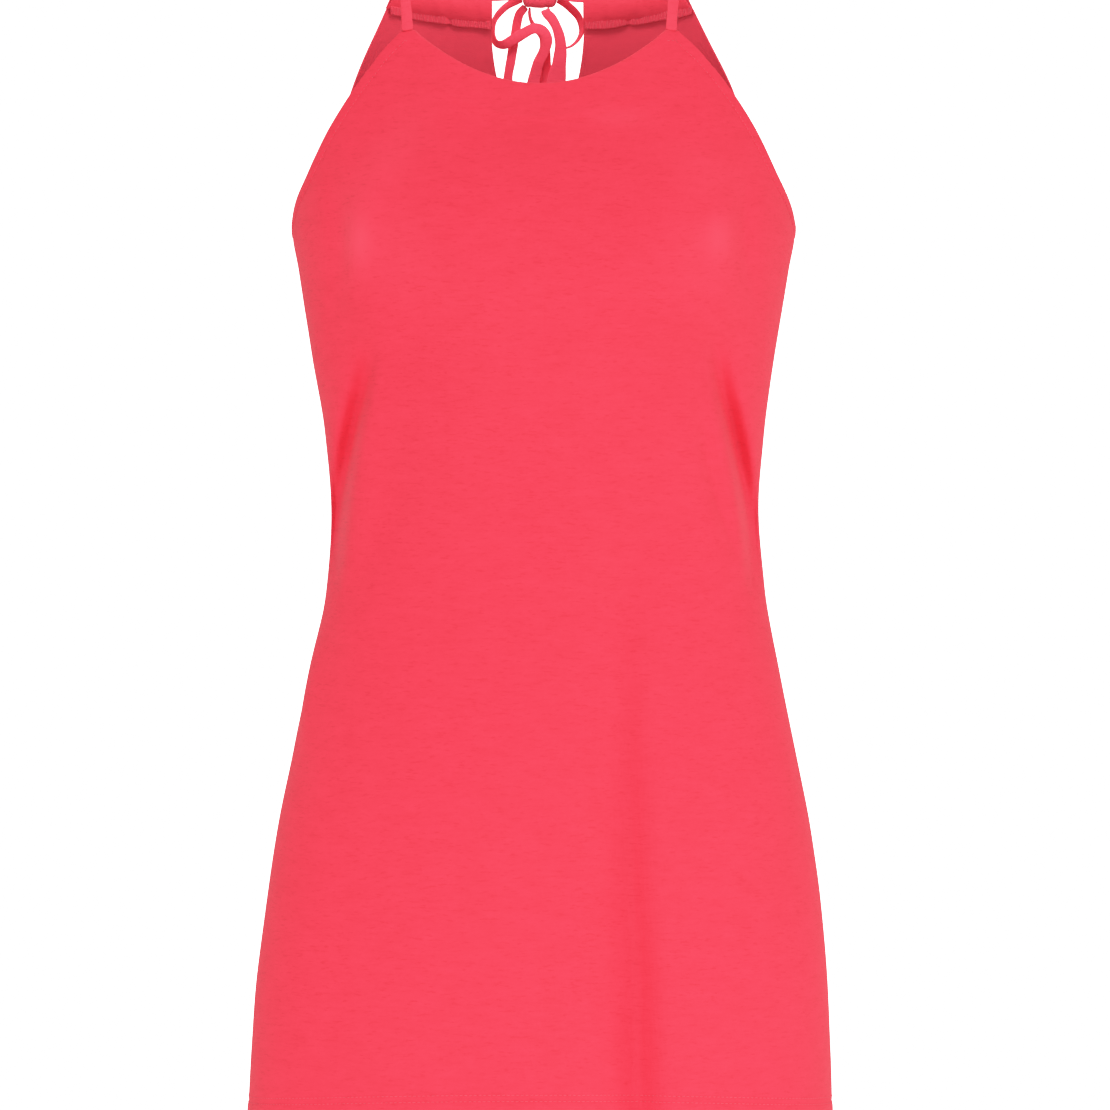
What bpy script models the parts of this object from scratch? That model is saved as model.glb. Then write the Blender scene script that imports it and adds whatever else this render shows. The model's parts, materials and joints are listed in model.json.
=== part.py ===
# A sleeveless longline jersey top, filled out as it is worn, with spaghetti straps over the shoulders
# and a folded neckband at the back that two ties close in a bow over a long opening.
#
# Lengths are in metres. +Z is up, the front faces -Y, and the wearer's right is at -X.
# The origin lies midway between the two straps, level with their tops, where shoulders hold the top up.

import math
from collections import namedtuple

import bmesh
import bpy
import numpy as np
from mathutils import Vector

# ---- driving dimensions ----------------------------------------------------------------------------

WALL = 0.0015  # cloth wall
SEAM_GAP = 0.0003  # between pieces that are sewn together
ROUNDNESS = 2.25  # of every section: 2 is an ellipse, more is squarer

UNDERARM = -0.232  # height of the side seams' tops
HEM_SIDE = -0.831  # height of the hem at the side seams
HEM_RISE = 0.008  # how much the bust lifts the hem at the front's middle

STRAP_WIDTH = 0.007
STRAP_THICKNESS = 0.0024
SHOULDER_MIDDLE = -0.075  # height of the point that the straps arch round
STRAP_SHIFT = -0.0009  # the whole neck hangs this far off the middle
STRAP_FOOT = -0.105  # height of the front's two points
STRAP_FOOT_INSIDE = 0.0830  # half the front's neck width
STRAP_FOOT_OUTSIDE = 0.0912

NECK_CENTRE = -0.0005
NECK_BOTTOM = -0.1414

BUST_OUT = 0.013  # how far the two bust curves stand out
BUST_APART = 0.088  # from the middle to each one's peak
BUST_HEIGHT = -0.246
BUST_SPREAD = 0.046
BUST_REACH = 0.062

SEAM_MIDDLE = -0.0915  # the seam under the neckband, at the middle of the back
SEAM_LIFT = 0.0107  # how much higher it is at SEAM_SPAN from the middle
SEAM_SPAN = 0.106
BAND_MIDDLE = -0.0680  # the neckband's top edge, in the same way
BAND_LIFT = 0.0080
BAND_SPAN = 0.094
BAND_EDGE = 0.0020  # the neckband's thickness at its seam and fold
BAND_PUFF = 0.0042  # and how much thicker its middle is

OPENING_CENTRE = -0.0024
OPENING_HALF = 0.0315
OPENING_DROP = 0.0760  # from the seam to the opening's round end

KNOT_CENTRE = Vector((-0.0010, 0.0800, -0.0705))
KNOT_HALF = Vector((0.0120, 0.0062, 0.0085))
TIE_THICKNESS = 0.0018

# how fine the solids are
FRONT_ARM_STEPS = 10
FRONT_NECK_STEPS = 12
BACK_ARM_STEPS = 9
BACK_SEAM_STEPS = 5
OPENING_STEPS = 10
PANEL_ROWS = 26
STRAP_STEPS = 26
BAND_COLUMNS = 11
BAND_ROWS = 7

# ---- tables ----------------------------------------------------------------------------------------

# Level sections of the filled-out form, from the shoulders down. Above the underarm they are the
# form that the panels lie on, and the armhole tables say how far across it the cloth reaches.
Section = namedtuple("Section", "height centre half_width front back")
SECTIONS = [
    Section(-0.055, -0.0015, 0.1310, 0.0740, 0.0670),
    Section(-0.079, -0.0010, 0.1380, 0.0800, 0.0730),
    Section(-0.105, -0.0005, 0.1450, 0.0860, 0.0790),
    Section(-0.141, 0.0010, 0.1555, 0.0960, 0.0880),
    Section(-0.175, 0.0013, 0.1635, 0.1040, 0.0935),
    Section(-0.206, 0.0013, 0.1675, 0.1120, 0.0960),
    Section(-0.232, 0.0013, 0.1685, 0.1155, 0.0957),
    Section(-0.260, 0.0013, 0.1642, 0.1160, 0.0940),
    Section(-0.314, 0.0015, 0.1554, 0.1090, 0.0860),
    Section(-0.367, 0.0025, 0.1474, 0.1020, 0.0790),
    Section(-0.421, 0.0027, 0.1434, 0.0985, 0.0765),
    Section(-0.474, 0.0030, 0.1474, 0.0990, 0.0820),
    Section(-0.528, 0.0027, 0.1575, 0.1030, 0.0930),
    Section(-0.582, 0.0027, 0.1682, 0.1070, 0.1040),
    Section(-0.635, 0.0025, 0.1786, 0.1100, 0.1110),
    Section(-0.689, 0.0020, 0.1863, 0.1120, 0.1135),
    Section(-0.742, 0.0007, 0.1916, 0.1145, 0.1150),
    Section(-0.831, -0.0007, 0.1960, 0.1190, 0.1180),
]

Edge = namedtuple("Edge", "height half_width")
FRONT_ARMHOLE = [
    Edge(STRAP_FOOT, STRAP_FOOT_OUTSIDE),
    Edge(-0.118, 0.1045),
    Edge(-0.144, 0.1250),
    Edge(-0.169, 0.1410),
    Edge(-0.195, 0.1542),
    Edge(-0.220, 0.1660),
    Edge(UNDERARM, 0.1685),
]
BACK_ARMHOLE = [
    Edge(-0.060, 0.0943),
    Edge(-0.089, 0.1076),
    Edge(-0.129, 0.1262),
    Edge(-0.166, 0.1395),
    Edge(-0.206, 0.1560),
    Edge(UNDERARM, 0.1685),
]

# The largest folds, as troughs along straight lines in the view from the front. run_out is 1 for a
# trough that is deepest at its foot, as at the hem, and 0 for one that fades at both ends.
Fold = namedtuple("Fold", "top_x top_height foot_x foot_height spread depth run_out")
FRONT_FOLDS = [
    Fold(0.055, -0.470, 0.070, -0.831, 0.0150, 0.0100, 1),
    Fold(0.010, -0.600, 0.004, -0.831, 0.0240, 0.0035, 1),
    Fold(-0.108, -0.300, -0.140, -0.500, 0.0075, 0.0060, 0),
    Fold(-0.080, -0.350, -0.144, -0.540, 0.0090, 0.0050, 0),
    Fold(0.114, -0.300, 0.148, -0.490, 0.0075, 0.0060, 0),
    Fold(0.096, -0.330, 0.138, -0.480, 0.0080, 0.0035, 0),
]
BACK_FOLDS = [
    Fold(-0.060, -0.500, -0.086, -0.831, 0.0170, 0.0090, 1),
    Fold(0.030, -0.560, 0.048, -0.831, 0.0190, 0.0070, 1),
    Fold(0.120, -0.330, 0.060, -0.440, 0.0090, 0.0050, 0),
    Fold(-0.124, -0.320, -0.070, -0.430, 0.0090, 0.0050, 0),
    Fold(-0.126, -0.400, -0.090, -0.520, 0.0090, 0.0045, 0),
]

# The routes of the narrow bands. turn is how far a band is turned about its length, in degrees:
# 0 shows its flat side to the front or back, and 90 its edge.
Stop = namedtuple("Stop", "x y z width turn")
STRAP_ROUTE = [  # the left one; the right one mirrors it
    Stop(0.0870, -0.0732, -0.1040, STRAP_WIDTH, 0),
    Stop(0.0886, -0.0655, -0.0840, STRAP_WIDTH, 0),
    Stop(0.0912, -0.0545, -0.0560, STRAP_WIDTH, 0),
    Stop(0.0936, -0.0380, -0.0265, STRAP_WIDTH, 0),
    Stop(0.0949, -0.0195, -0.0075, STRAP_WIDTH, 0),
    Stop(0.0952, 0.0000, -0.0012, STRAP_WIDTH, 0),
    Stop(0.0946, 0.0190, -0.0095, STRAP_WIDTH, 0),
    Stop(0.0932, 0.0365, -0.0310, STRAP_WIDTH, 0),
    Stop(0.0908, 0.0496, -0.0598, STRAP_WIDTH, 0),
]
RIGHT_TIE = [
    Stop(-0.0334, 0.0684, -0.0712, 0.0070, 0),
    Stop(-0.0300, 0.0690, -0.0711, 0.0070, 0),
    Stop(-0.0220, 0.0728, -0.0706, 0.0070, 0),
    Stop(-0.0165, 0.0752, -0.0701, 0.0070, 0),
    Stop(-0.0130, 0.0757, -0.0700, 0.0070, 0),
]
LEFT_TIE = [
    Stop(0.0284, 0.0686, -0.0722, 0.0070, 0),
    Stop(0.0252, 0.0693, -0.0721, 0.0070, 0),
    Stop(0.0190, 0.0730, -0.0712, 0.0070, 0),
    Stop(0.0145, 0.0752, -0.0704, 0.0070, 0),
    Stop(0.0109, 0.0757, -0.0702, 0.0070, 0),
]
RIGHT_LOOP = [
    Stop(-0.0138, 0.0818, -0.0723, 0.0056, 10),
    Stop(-0.0165, 0.0824, -0.0733, 0.0058, 16),
    Stop(-0.0247, 0.0835, -0.0781, 0.0062, 40),
    Stop(-0.0315, 0.0840, -0.0863, 0.0070, 62),
    Stop(-0.0332, 0.0840, -0.0952, 0.0070, 66),
    Stop(-0.0308, 0.0832, -0.1022, 0.0070, 55),
    Stop(-0.0258, 0.0822, -0.1035, 0.0070, 35),
    Stop(-0.0199, 0.0812, -0.1006, 0.0072, 10),
    Stop(-0.0125, 0.0802, -0.0962, 0.0074, 0),
    Stop(-0.0048, 0.0792, -0.0926, 0.0074, 0),
    Stop(0.0010, 0.0792, -0.0944, 0.0074, 0),
    Stop(0.0038, 0.0802, -0.0999, 0.0074, 0),
    Stop(0.0018, 0.0822, -0.1081, 0.0074, 0),
    Stop(-0.0022, 0.0845, -0.1163, 0.0076, 0),
    Stop(-0.0050, 0.0870, -0.1272, 0.0080, 0),
    Stop(-0.0085, 0.0890, -0.1385, 0.0080, 0),
    Stop(-0.0148, 0.0905, -0.1445, 0.0076, 0),
    Stop(-0.0210, 0.0905, -0.1385, 0.0070, 0),
    Stop(-0.0227, 0.0895, -0.1272, 0.0066, 0),
    Stop(-0.0206, 0.0880, -0.1136, 0.0064, 0),
    Stop(-0.0174, 0.0862, -0.0940, 0.0064, 0),
    Stop(-0.0150, 0.0836, -0.0830, 0.0060, 0),
    Stop(-0.0110, 0.0814, -0.0781, 0.0050, 0),
]
LEFT_LOOP = [
    Stop(0.0119, 0.0818, -0.0728, 0.0056, 10),
    Stop(0.0142, 0.0822, -0.0740, 0.0058, 15),
    Stop(0.0196, 0.0830, -0.0781, 0.0058, 25),
    Stop(0.0257, 0.0840, -0.0849, 0.0062, 45),
    Stop(0.0276, 0.0848, -0.0931, 0.0066, 60),
    Stop(0.0251, 0.0858, -0.0999, 0.0068, 74),
    Stop(0.0200, 0.0868, -0.1044, 0.0068, 84),
    Stop(0.0148, 0.0872, -0.1050, 0.0068, 88),
    Stop(0.0122, 0.0872, -0.1000, 0.0066, 90),
    Stop(0.0104, 0.0866, -0.0920, 0.0064, 90),
    Stop(0.0066, 0.0852, -0.0848, 0.0060, 90),
    Stop(0.0050, 0.0835, -0.0815, 0.0050, 90),
    Stop(0.0048, 0.0828, -0.0788, 0.0044, 90),
]
RIGHT_TAIL = [
    Stop(-0.0078, 0.0826, -0.0789, 0.0046, 80),
    Stop(-0.0079, 0.0835, -0.0820, 0.0054, 80),
    Stop(-0.0066, 0.0855, -0.0872, 0.0060, 74),
    Stop(-0.0030, 0.0866, -0.0930, 0.0064, 60),
    Stop(0.0015, 0.0872, -0.0985, 0.0066, 35),
    Stop(0.0026, 0.0880, -0.1080, 0.0074, 10),
    Stop(0.0022, 0.0890, -0.1160, 0.0090, 0),
    Stop(0.0032, 0.0905, -0.1272, 0.0120, 0),
    Stop(0.0036, 0.0920, -0.1390, 0.0130, 0),
    Stop(0.0034, 0.0935, -0.1500, 0.0130, 0),
]
LEFT_TAIL = [
    Stop(0.0028, 0.0776, -0.0803, 0.0064, 0),
    Stop(0.0036, 0.0777, -0.0822, 0.0066, 0),
    Stop(0.0072, 0.0784, -0.0860, 0.0070, 0),
    Stop(0.0112, 0.0797, -0.0938, 0.0070, 0),
    Stop(0.0132, 0.0812, -0.1033, 0.0076, 0),
    Stop(0.0126, 0.0832, -0.1136, 0.0096, 0),
    Stop(0.0104, 0.0857, -0.1272, 0.0128, 0),
    Stop(0.0088, 0.0876, -0.1390, 0.0130, 0),
    Stop(0.0084, 0.0892, -0.1530, 0.0130, 0),
]

FRONT = -1
BACK = 1


# ---- reading the tables ----------------------------------------------------------------------------

def smooth_read(at, places, values):
    """A value from a table by a curve that passes through each row and doesn't overshoot."""
    order = np.argsort(places)
    px = np.asarray(places, float)[order]
    py = np.asarray(values, float)[order]
    step = np.diff(px)
    slope = np.diff(py) / step
    tangent = np.empty_like(py)
    tangent[0] = slope[0]
    tangent[-1] = slope[-1]
    same_way = slope[:-1] * slope[1:] > 0
    total = np.where(same_way, slope[:-1] + slope[1:], 1.0)
    tangent[1:-1] = np.where(same_way, 2 * slope[:-1] * slope[1:] / total, 0.0)
    at = np.clip(at, px[0], px[-1])
    k = np.clip(np.searchsorted(px, at) - 1, 0, len(step) - 1)
    t = (at - px[k]) / step[k]
    rise = (3 - 2 * t) * t * t
    start = t * (1 - t) ** 2 * step[k] * tangent[k]
    end = t * t * (t - 1) * step[k] * tangent[k + 1]
    return py[k] * (1 - rise) + py[k + 1] * rise + start + end


def section_at(height, column):
    return smooth_read(height, [s.height for s in SECTIONS], [getattr(s, column) for s in SECTIONS])


def armhole_at(table, height):
    return smooth_read(height, [e.height for e in table], [e.half_width for e in table])


def signed_power(value, power):
    return math.copysign(abs(value) ** power, value)


def soft_step(value):
    t = min(max(value, 0.0), 1.0)
    return t * t * (3 - 2 * t)


# ---- the form --------------------------------------------------------------------------------------

def form_turn(x, height):
    """How far round the section a place lies: 0 at the wearer's right side, pi at the left."""
    share = (x - section_at(height, "centre")) / section_at(height, "half_width")
    share = min(max(share, -1.0), 1.0)
    return math.acos(-signed_power(share, ROUNDNESS / 2))


def bust_rise(x, height):
    spread = [math.exp(-0.5 * ((x - side * BUST_APART) / BUST_SPREAD) ** 2) for side in (-1, 1)]
    return BUST_OUT * sum(spread) * math.exp(-0.5 * ((height - BUST_HEIGHT) / BUST_REACH) ** 2)


def fold_depth(folds, x, height):
    total = 0.0
    for fold in folds:
        along = Vector((fold.foot_x - fold.top_x, fold.foot_height - fold.top_height))
        place = Vector((x - fold.top_x, height - fold.top_height))
        share = place.dot(along) / along.length_squared
        if not 0.0 < share:
            continue
        share = min(share, 1.0)
        off = (place - share * along).length
        fade = math.sin(math.pi * share * (1 - fold.run_out / 2))
        total += fold.depth * fade * math.exp(-0.5 * (off / fold.spread) ** 2)
    return total


def form_point(side, turn, height):
    """A point of the cloth's outer face, by its turn round the section and its height."""
    half = section_at(height, "half_width")
    depth = section_at(height, "front" if side == FRONT else "back")
    power = 2 / ROUNDNESS
    off_x = -half * signed_power(math.cos(turn), power)
    off_y = depth * max(math.sin(turn), 0.0) ** power
    x = section_at(height, "centre") + off_x
    if side == FRONT:
        off_y += bust_rise(off_x, height) * math.sin(turn)
    out = Vector((
        signed_power(off_x / half, ROUNDNESS - 1) / half,
        side * (off_y / depth) ** (ROUNDNESS - 1) / depth,
    )).normalized()
    folds = FRONT_FOLDS if side == FRONT else BACK_FOLDS
    trough = fold_depth(folds, x, height) * soft_step(math.sin(turn) / 0.3)
    y = side * (off_y + SEAM_GAP / 2)
    return Vector((x - out.x * trough, y - out.y * trough, height))


def surface_point(side, x, height):
    return form_point(side, form_turn(x, height), height)


def hem_height(side, turn):
    if side == BACK:
        return HEM_SIDE
    return HEM_SIDE + HEM_RISE * math.sin(turn) ** 2


# ---- the edges of the panels, from the wearer's right to the left ------------------------------------

def armhole_edge(table, top, steps):
    """Points up an armhole on the wearer's right, closer together at the underarm."""
    points = []
    for k in range(steps + 1):
        height = UNDERARM + (top - UNDERARM) * (k / steps) ** 1.25
        points.append((section_at(height, "centre") - armhole_at(table, height), height))
    return points


def across(points):
    """The same points on the wearer's left, in the other order."""
    return [(2 * section_at(height, "centre") - x, height) for x, height in reversed(points)]


def neckline_height(x):
    share = (x - NECK_CENTRE) / STRAP_FOOT_INSIDE
    return NECK_BOTTOM + (STRAP_FOOT - NECK_BOTTOM) * share * share


def front_edge():
    arm = armhole_edge(FRONT_ARMHOLE, STRAP_FOOT, FRONT_ARM_STEPS)
    neck = []
    for k in range(FRONT_NECK_STEPS + 1):
        x = NECK_CENTRE + STRAP_FOOT_INSIDE * (2 * k / FRONT_NECK_STEPS - 1)
        neck.append((x, neckline_height(x)))
    return arm + neck + across(arm)


def seam_height(x):
    return SEAM_MIDDLE + SEAM_LIFT * (x / SEAM_SPAN) ** 2


def band_height(x):
    return BAND_MIDDLE + BAND_LIFT * (x / BAND_SPAN) ** 2


def back_corner(level):
    """Where a level line across the back, such as its seam, meets the armhole edge."""
    x = 0.1
    for _ in range(30):
        x = armhole_at(BACK_ARMHOLE, level(x))
    return x


def back_edge():
    corner = back_corner(seam_height)
    arm = armhole_edge(BACK_ARMHOLE, seam_height(corner), BACK_ARM_STEPS)
    left_end = OPENING_CENTRE - OPENING_HALF
    right_end = OPENING_CENTRE + OPENING_HALF
    start = arm[-1][0]
    finish = across(arm)[0][0]
    seam_right = [start + (left_end - start) * k / BACK_SEAM_STEPS for k in range(1, BACK_SEAM_STEPS + 1)]
    seam_left = [right_end + (finish - right_end) * k / BACK_SEAM_STEPS for k in range(BACK_SEAM_STEPS)]
    opening = []
    for k in range(1, OPENING_STEPS):
        angle = math.pi * k / OPENING_STEPS
        x = OPENING_CENTRE - OPENING_HALF * math.cos(angle)
        opening.append((x, seam_height(left_end) - OPENING_DROP * math.sin(angle)))
    return (
        arm
        + [(x, seam_height(x)) for x in seam_right]
        + opening
        + [(x, seam_height(x)) for x in seam_left]
        + across(arm)
    )


# ---- making meshes ---------------------------------------------------------------------------------

def grid_normals(points, side):
    along_rows = np.gradient(points, axis=0)
    along_columns = np.gradient(points, axis=1)
    normals = np.cross(along_columns, along_rows)
    normals /= np.linalg.norm(normals, axis=2, keepdims=True)
    outward = np.sign((normals[..., 1] * side).mean())
    return normals * outward


def wall_mesh(name, points, normals, thickness):
    """A closed wall from a grid of outer points, with its inner face thickness behind them."""
    rows, columns = points.shape[:2]
    inner = points - normals * thickness
    work = bmesh.new()
    outside = [[work.verts.new(points[i, j]) for j in range(columns)] for i in range(rows)]
    inside = [[work.verts.new(inner[i, j]) for j in range(columns)] for i in range(rows)]
    for i in range(rows - 1):
        for j in range(columns - 1):
            for layer in (outside, inside):
                work.faces.new((layer[i][j], layer[i][j + 1], layer[i + 1][j + 1], layer[i + 1][j]))
    border = [(0, j) for j in range(columns)]
    border += [(i, columns - 1) for i in range(1, rows)]
    border += [(rows - 1, j) for j in range(columns - 2, -1, -1)]
    border += [(i, 0) for i in range(rows - 2, 0, -1)]
    for (i, j), (k, m) in zip(border, border[1:] + border[:1]):
        work.faces.new((outside[i][j], outside[k][m], inside[k][m], inside[i][j]))
    return finish_mesh(name, work)


def finish_mesh(name, work):
    bmesh.ops.recalc_face_normals(work, faces=work.faces)
    mesh = bpy.data.meshes.new(name)
    work.to_mesh(mesh)
    work.free()
    mesh.shade_smooth()
    mesh.set_sharp_from_angle(angle=math.radians(40))
    return mesh


def smooth_route(stops, steps):
    """Points evenly along a curve through the stops, with the width and turn at each."""
    places = [Vector((s.x, s.y, s.z)) for s in stops]
    lengths = [0.0]
    for a, b in zip(places, places[1:]):
        lengths.append(lengths[-1] + (b - a).length)
    values = {name: [getattr(s, name) for s in stops] for name in Stop._fields}
    return [
        Stop(*(float(cubic_read(lengths[-1] * k / steps, lengths, values[name])) for name in Stop._fields))
        for k in range(steps + 1)
    ]


def cubic_read(at, places, values):
    """A value from a route by a smooth curve, free to swing a little past its rows."""
    last = len(places) - 1
    k = min(max(int(np.searchsorted(places, at)) - 1, 0), last - 1)

    def tangent(i):
        before, after = max(i - 1, 0), min(i + 1, last)
        return (values[after] - values[before]) / (places[after] - places[before])

    step = places[k + 1] - places[k]
    t = (at - places[k]) / step
    rise = (3 - 2 * t) * t * t
    start = t * (1 - t) ** 2 * step * tangent(k)
    end = t * t * (t - 1) * step * tangent(k + 1)
    return values[k] * (1 - rise) + values[k + 1] * rise + start + end


def band_mesh(name, stops, steps, thickness, facing):
    """A flat band with rounded edges along a route; facing points away from its flat side."""
    route = smooth_route(stops, steps)
    places = [Vector((s.x, s.y, s.z)) for s in route]
    work = bmesh.new()
    rings = []
    for k, stop in enumerate(route):
        tangent = (places[min(k + 1, steps)] - places[max(k - 1, 0)]).normalized()
        face = facing(stop) - tangent * facing(stop).dot(tangent)
        face.normalize()
        side = tangent.cross(face)
        turn = math.radians(stop.turn)
        flat = face * math.cos(turn) + side * math.sin(turn)
        edge = side * math.cos(turn) - face * math.sin(turn)
        ring = []
        for corner in range(8):
            angle = math.pi * (corner + 0.5) / 4
            wide = signed_power(math.cos(angle), 0.6) * stop.width / 2
            thick = signed_power(math.sin(angle), 0.6) * thickness / 2
            ring.append(work.verts.new(places[k] + edge * wide + flat * thick))
        rings.append(ring)
    for a, b in zip(rings, rings[1:]):
        for m in range(8):
            work.faces.new((a[m], a[(m + 1) % 8], b[(m + 1) % 8], b[m]))
    work.faces.new(rings[0])
    work.faces.new(rings[-1])
    return finish_mesh(name, work)


def add_object(name, mesh, material):
    piece = bpy.data.objects.new(name, mesh)
    mesh.materials.append(material)
    bpy.context.scene.collection.objects.link(piece)
    return piece


def cloth(name, colour, roughness):
    material = bpy.data.materials.new(name)
    material.use_nodes = True
    shader = material.node_tree.nodes["Principled BSDF"]
    shader.inputs["Base Color"].default_value = (*colour, 1.0)
    shader.inputs["Roughness"].default_value = roughness
    shader.inputs["Metallic"].default_value = 0.0
    return material


# ---- the pieces ------------------------------------------------------------------------------------

def panel(name, side, edge, material):
    """A body panel: columns run up the form from the hem, each to its own point on the top edge."""
    points = np.empty((PANEL_ROWS + 1, len(edge), 3))
    for j, (x, top) in enumerate(edge):
        turn = form_turn(x, top)
        if j in (0, len(edge) - 1):
            turn = 0.0 if j == 0 else math.pi
        foot = hem_height(side, turn)
        for i in range(PANEL_ROWS + 1):
            points[i, j] = form_point(side, turn, foot + (top - foot) * i / PANEL_ROWS)
    normals = grid_normals(points, side)
    for j in (0, -1):
        normals[:, j, 1] = 0.0  # the side seams' edges are cut square
    normals /= np.linalg.norm(normals, axis=2, keepdims=True)
    add_object(name, wall_mesh(name, points, normals, WALL), material)


def neckband(name, hand, material):
    """Half the folded band along the back neck, puffed towards the neck between its seam and fold."""
    inner = OPENING_CENTRE + hand * OPENING_HALF
    columns, rows = BAND_COLUMNS, BAND_ROWS
    points = np.empty((rows, columns, 3))
    thickness = np.empty((rows, columns, 1))
    middle = section_at(BAND_MIDDLE, "centre")
    for j in range(columns):
        share = j / (columns - 1)
        for i in range(rows):
            up = i / (rows - 1)
            seam_end = middle + hand * back_corner(seam_height)
            fold_end = middle + hand * back_corner(band_height)
            x = inner + ((seam_end * (1 - up) + fold_end * up) - inner) * share
            low, high = seam_height(x) + SEAM_GAP, band_height(x)
            points[i, j] = surface_point(BACK, x, low + (high - low) * up)
            along = 0.35 + 0.65 * math.sin(math.pi * (0.06 + 0.88 * share)) ** 0.5
            thickness[i, j] = BAND_EDGE + BAND_PUFF * along * math.sin(math.pi * up) ** 0.7
    add_object(name, wall_mesh(name, points, grid_normals(points, BACK), thickness), material)


def strap(name, hand, material):
    stops = [stop._replace(x=hand * stop.x + STRAP_SHIFT) for stop in STRAP_ROUTE]

    def away_from_shoulder(stop):
        return Vector((0.0, stop.y, stop.z - SHOULDER_MIDDLE))

    mesh = band_mesh(name, stops, STRAP_STEPS, STRAP_THICKNESS, away_from_shoulder)
    add_object(name, mesh, material)


def bow_band(name, stops, steps, material):
    mesh = band_mesh(name, stops, steps, TIE_THICKNESS, lambda stop: Vector((0.0, 1.0, 0.0)))
    add_object(name, mesh, material)


def bow_knot(name, material):
    """The knot: a boxy ball with a slight waist, as the wrapped tie pulls it in."""
    work = bmesh.new()
    bmesh.ops.create_uvsphere(work, u_segments=20, v_segments=12, radius=1.0)
    for vertex in work.verts:
        shape = Vector(signed_power(value, 0.62) for value in vertex.co)
        waist = 1 - 0.06 * math.cos(3 * shape.x)
        vertex.co = KNOT_CENTRE + Vector((
            KNOT_HALF.x * shape.x,
            KNOT_HALF.y * shape.y * waist,
            KNOT_HALF.z * shape.z * waist,
        ))
    add_object(name, finish_mesh(name, work), material)


def build():
    for old in list(bpy.data.objects):
        bpy.data.objects.remove(old, do_unlink=True)
    jersey = cloth("jersey", (0.90, 0.075, 0.125), 0.80)
    ribbon = cloth("folded_jersey", (0.86, 0.065, 0.110), 0.75)
    panel("front", FRONT, front_edge(), jersey)
    panel("back", BACK, back_edge(), jersey)
    neckband("neckband_right", -1, ribbon)
    neckband("neckband_left", 1, ribbon)
    strap("strap_right", -1, ribbon)
    strap("strap_left", 1, ribbon)
    bow_band("tie_right", RIGHT_TIE, 6, ribbon)
    bow_band("tie_left", LEFT_TIE, 6, ribbon)
    bow_knot("bow_knot", ribbon)
    bow_band("bow_loop_right", RIGHT_LOOP, 48, ribbon)
    bow_band("bow_loop_left", LEFT_LOOP, 26, ribbon)
    bow_band("bow_tail_right", RIGHT_TAIL, 20, ribbon)
    bow_band("bow_tail_left", LEFT_TAIL, 18, ribbon)


build()
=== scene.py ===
# Looks of a sleeveless longline jersey top with a bow back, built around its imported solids.
# Lengths are in metres, and in millimetres in the rows of the tables.
# The front faces -Y, up is +Z, and the wearer's right is at -X.
import json
import math
from collections import namedtuple

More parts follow.
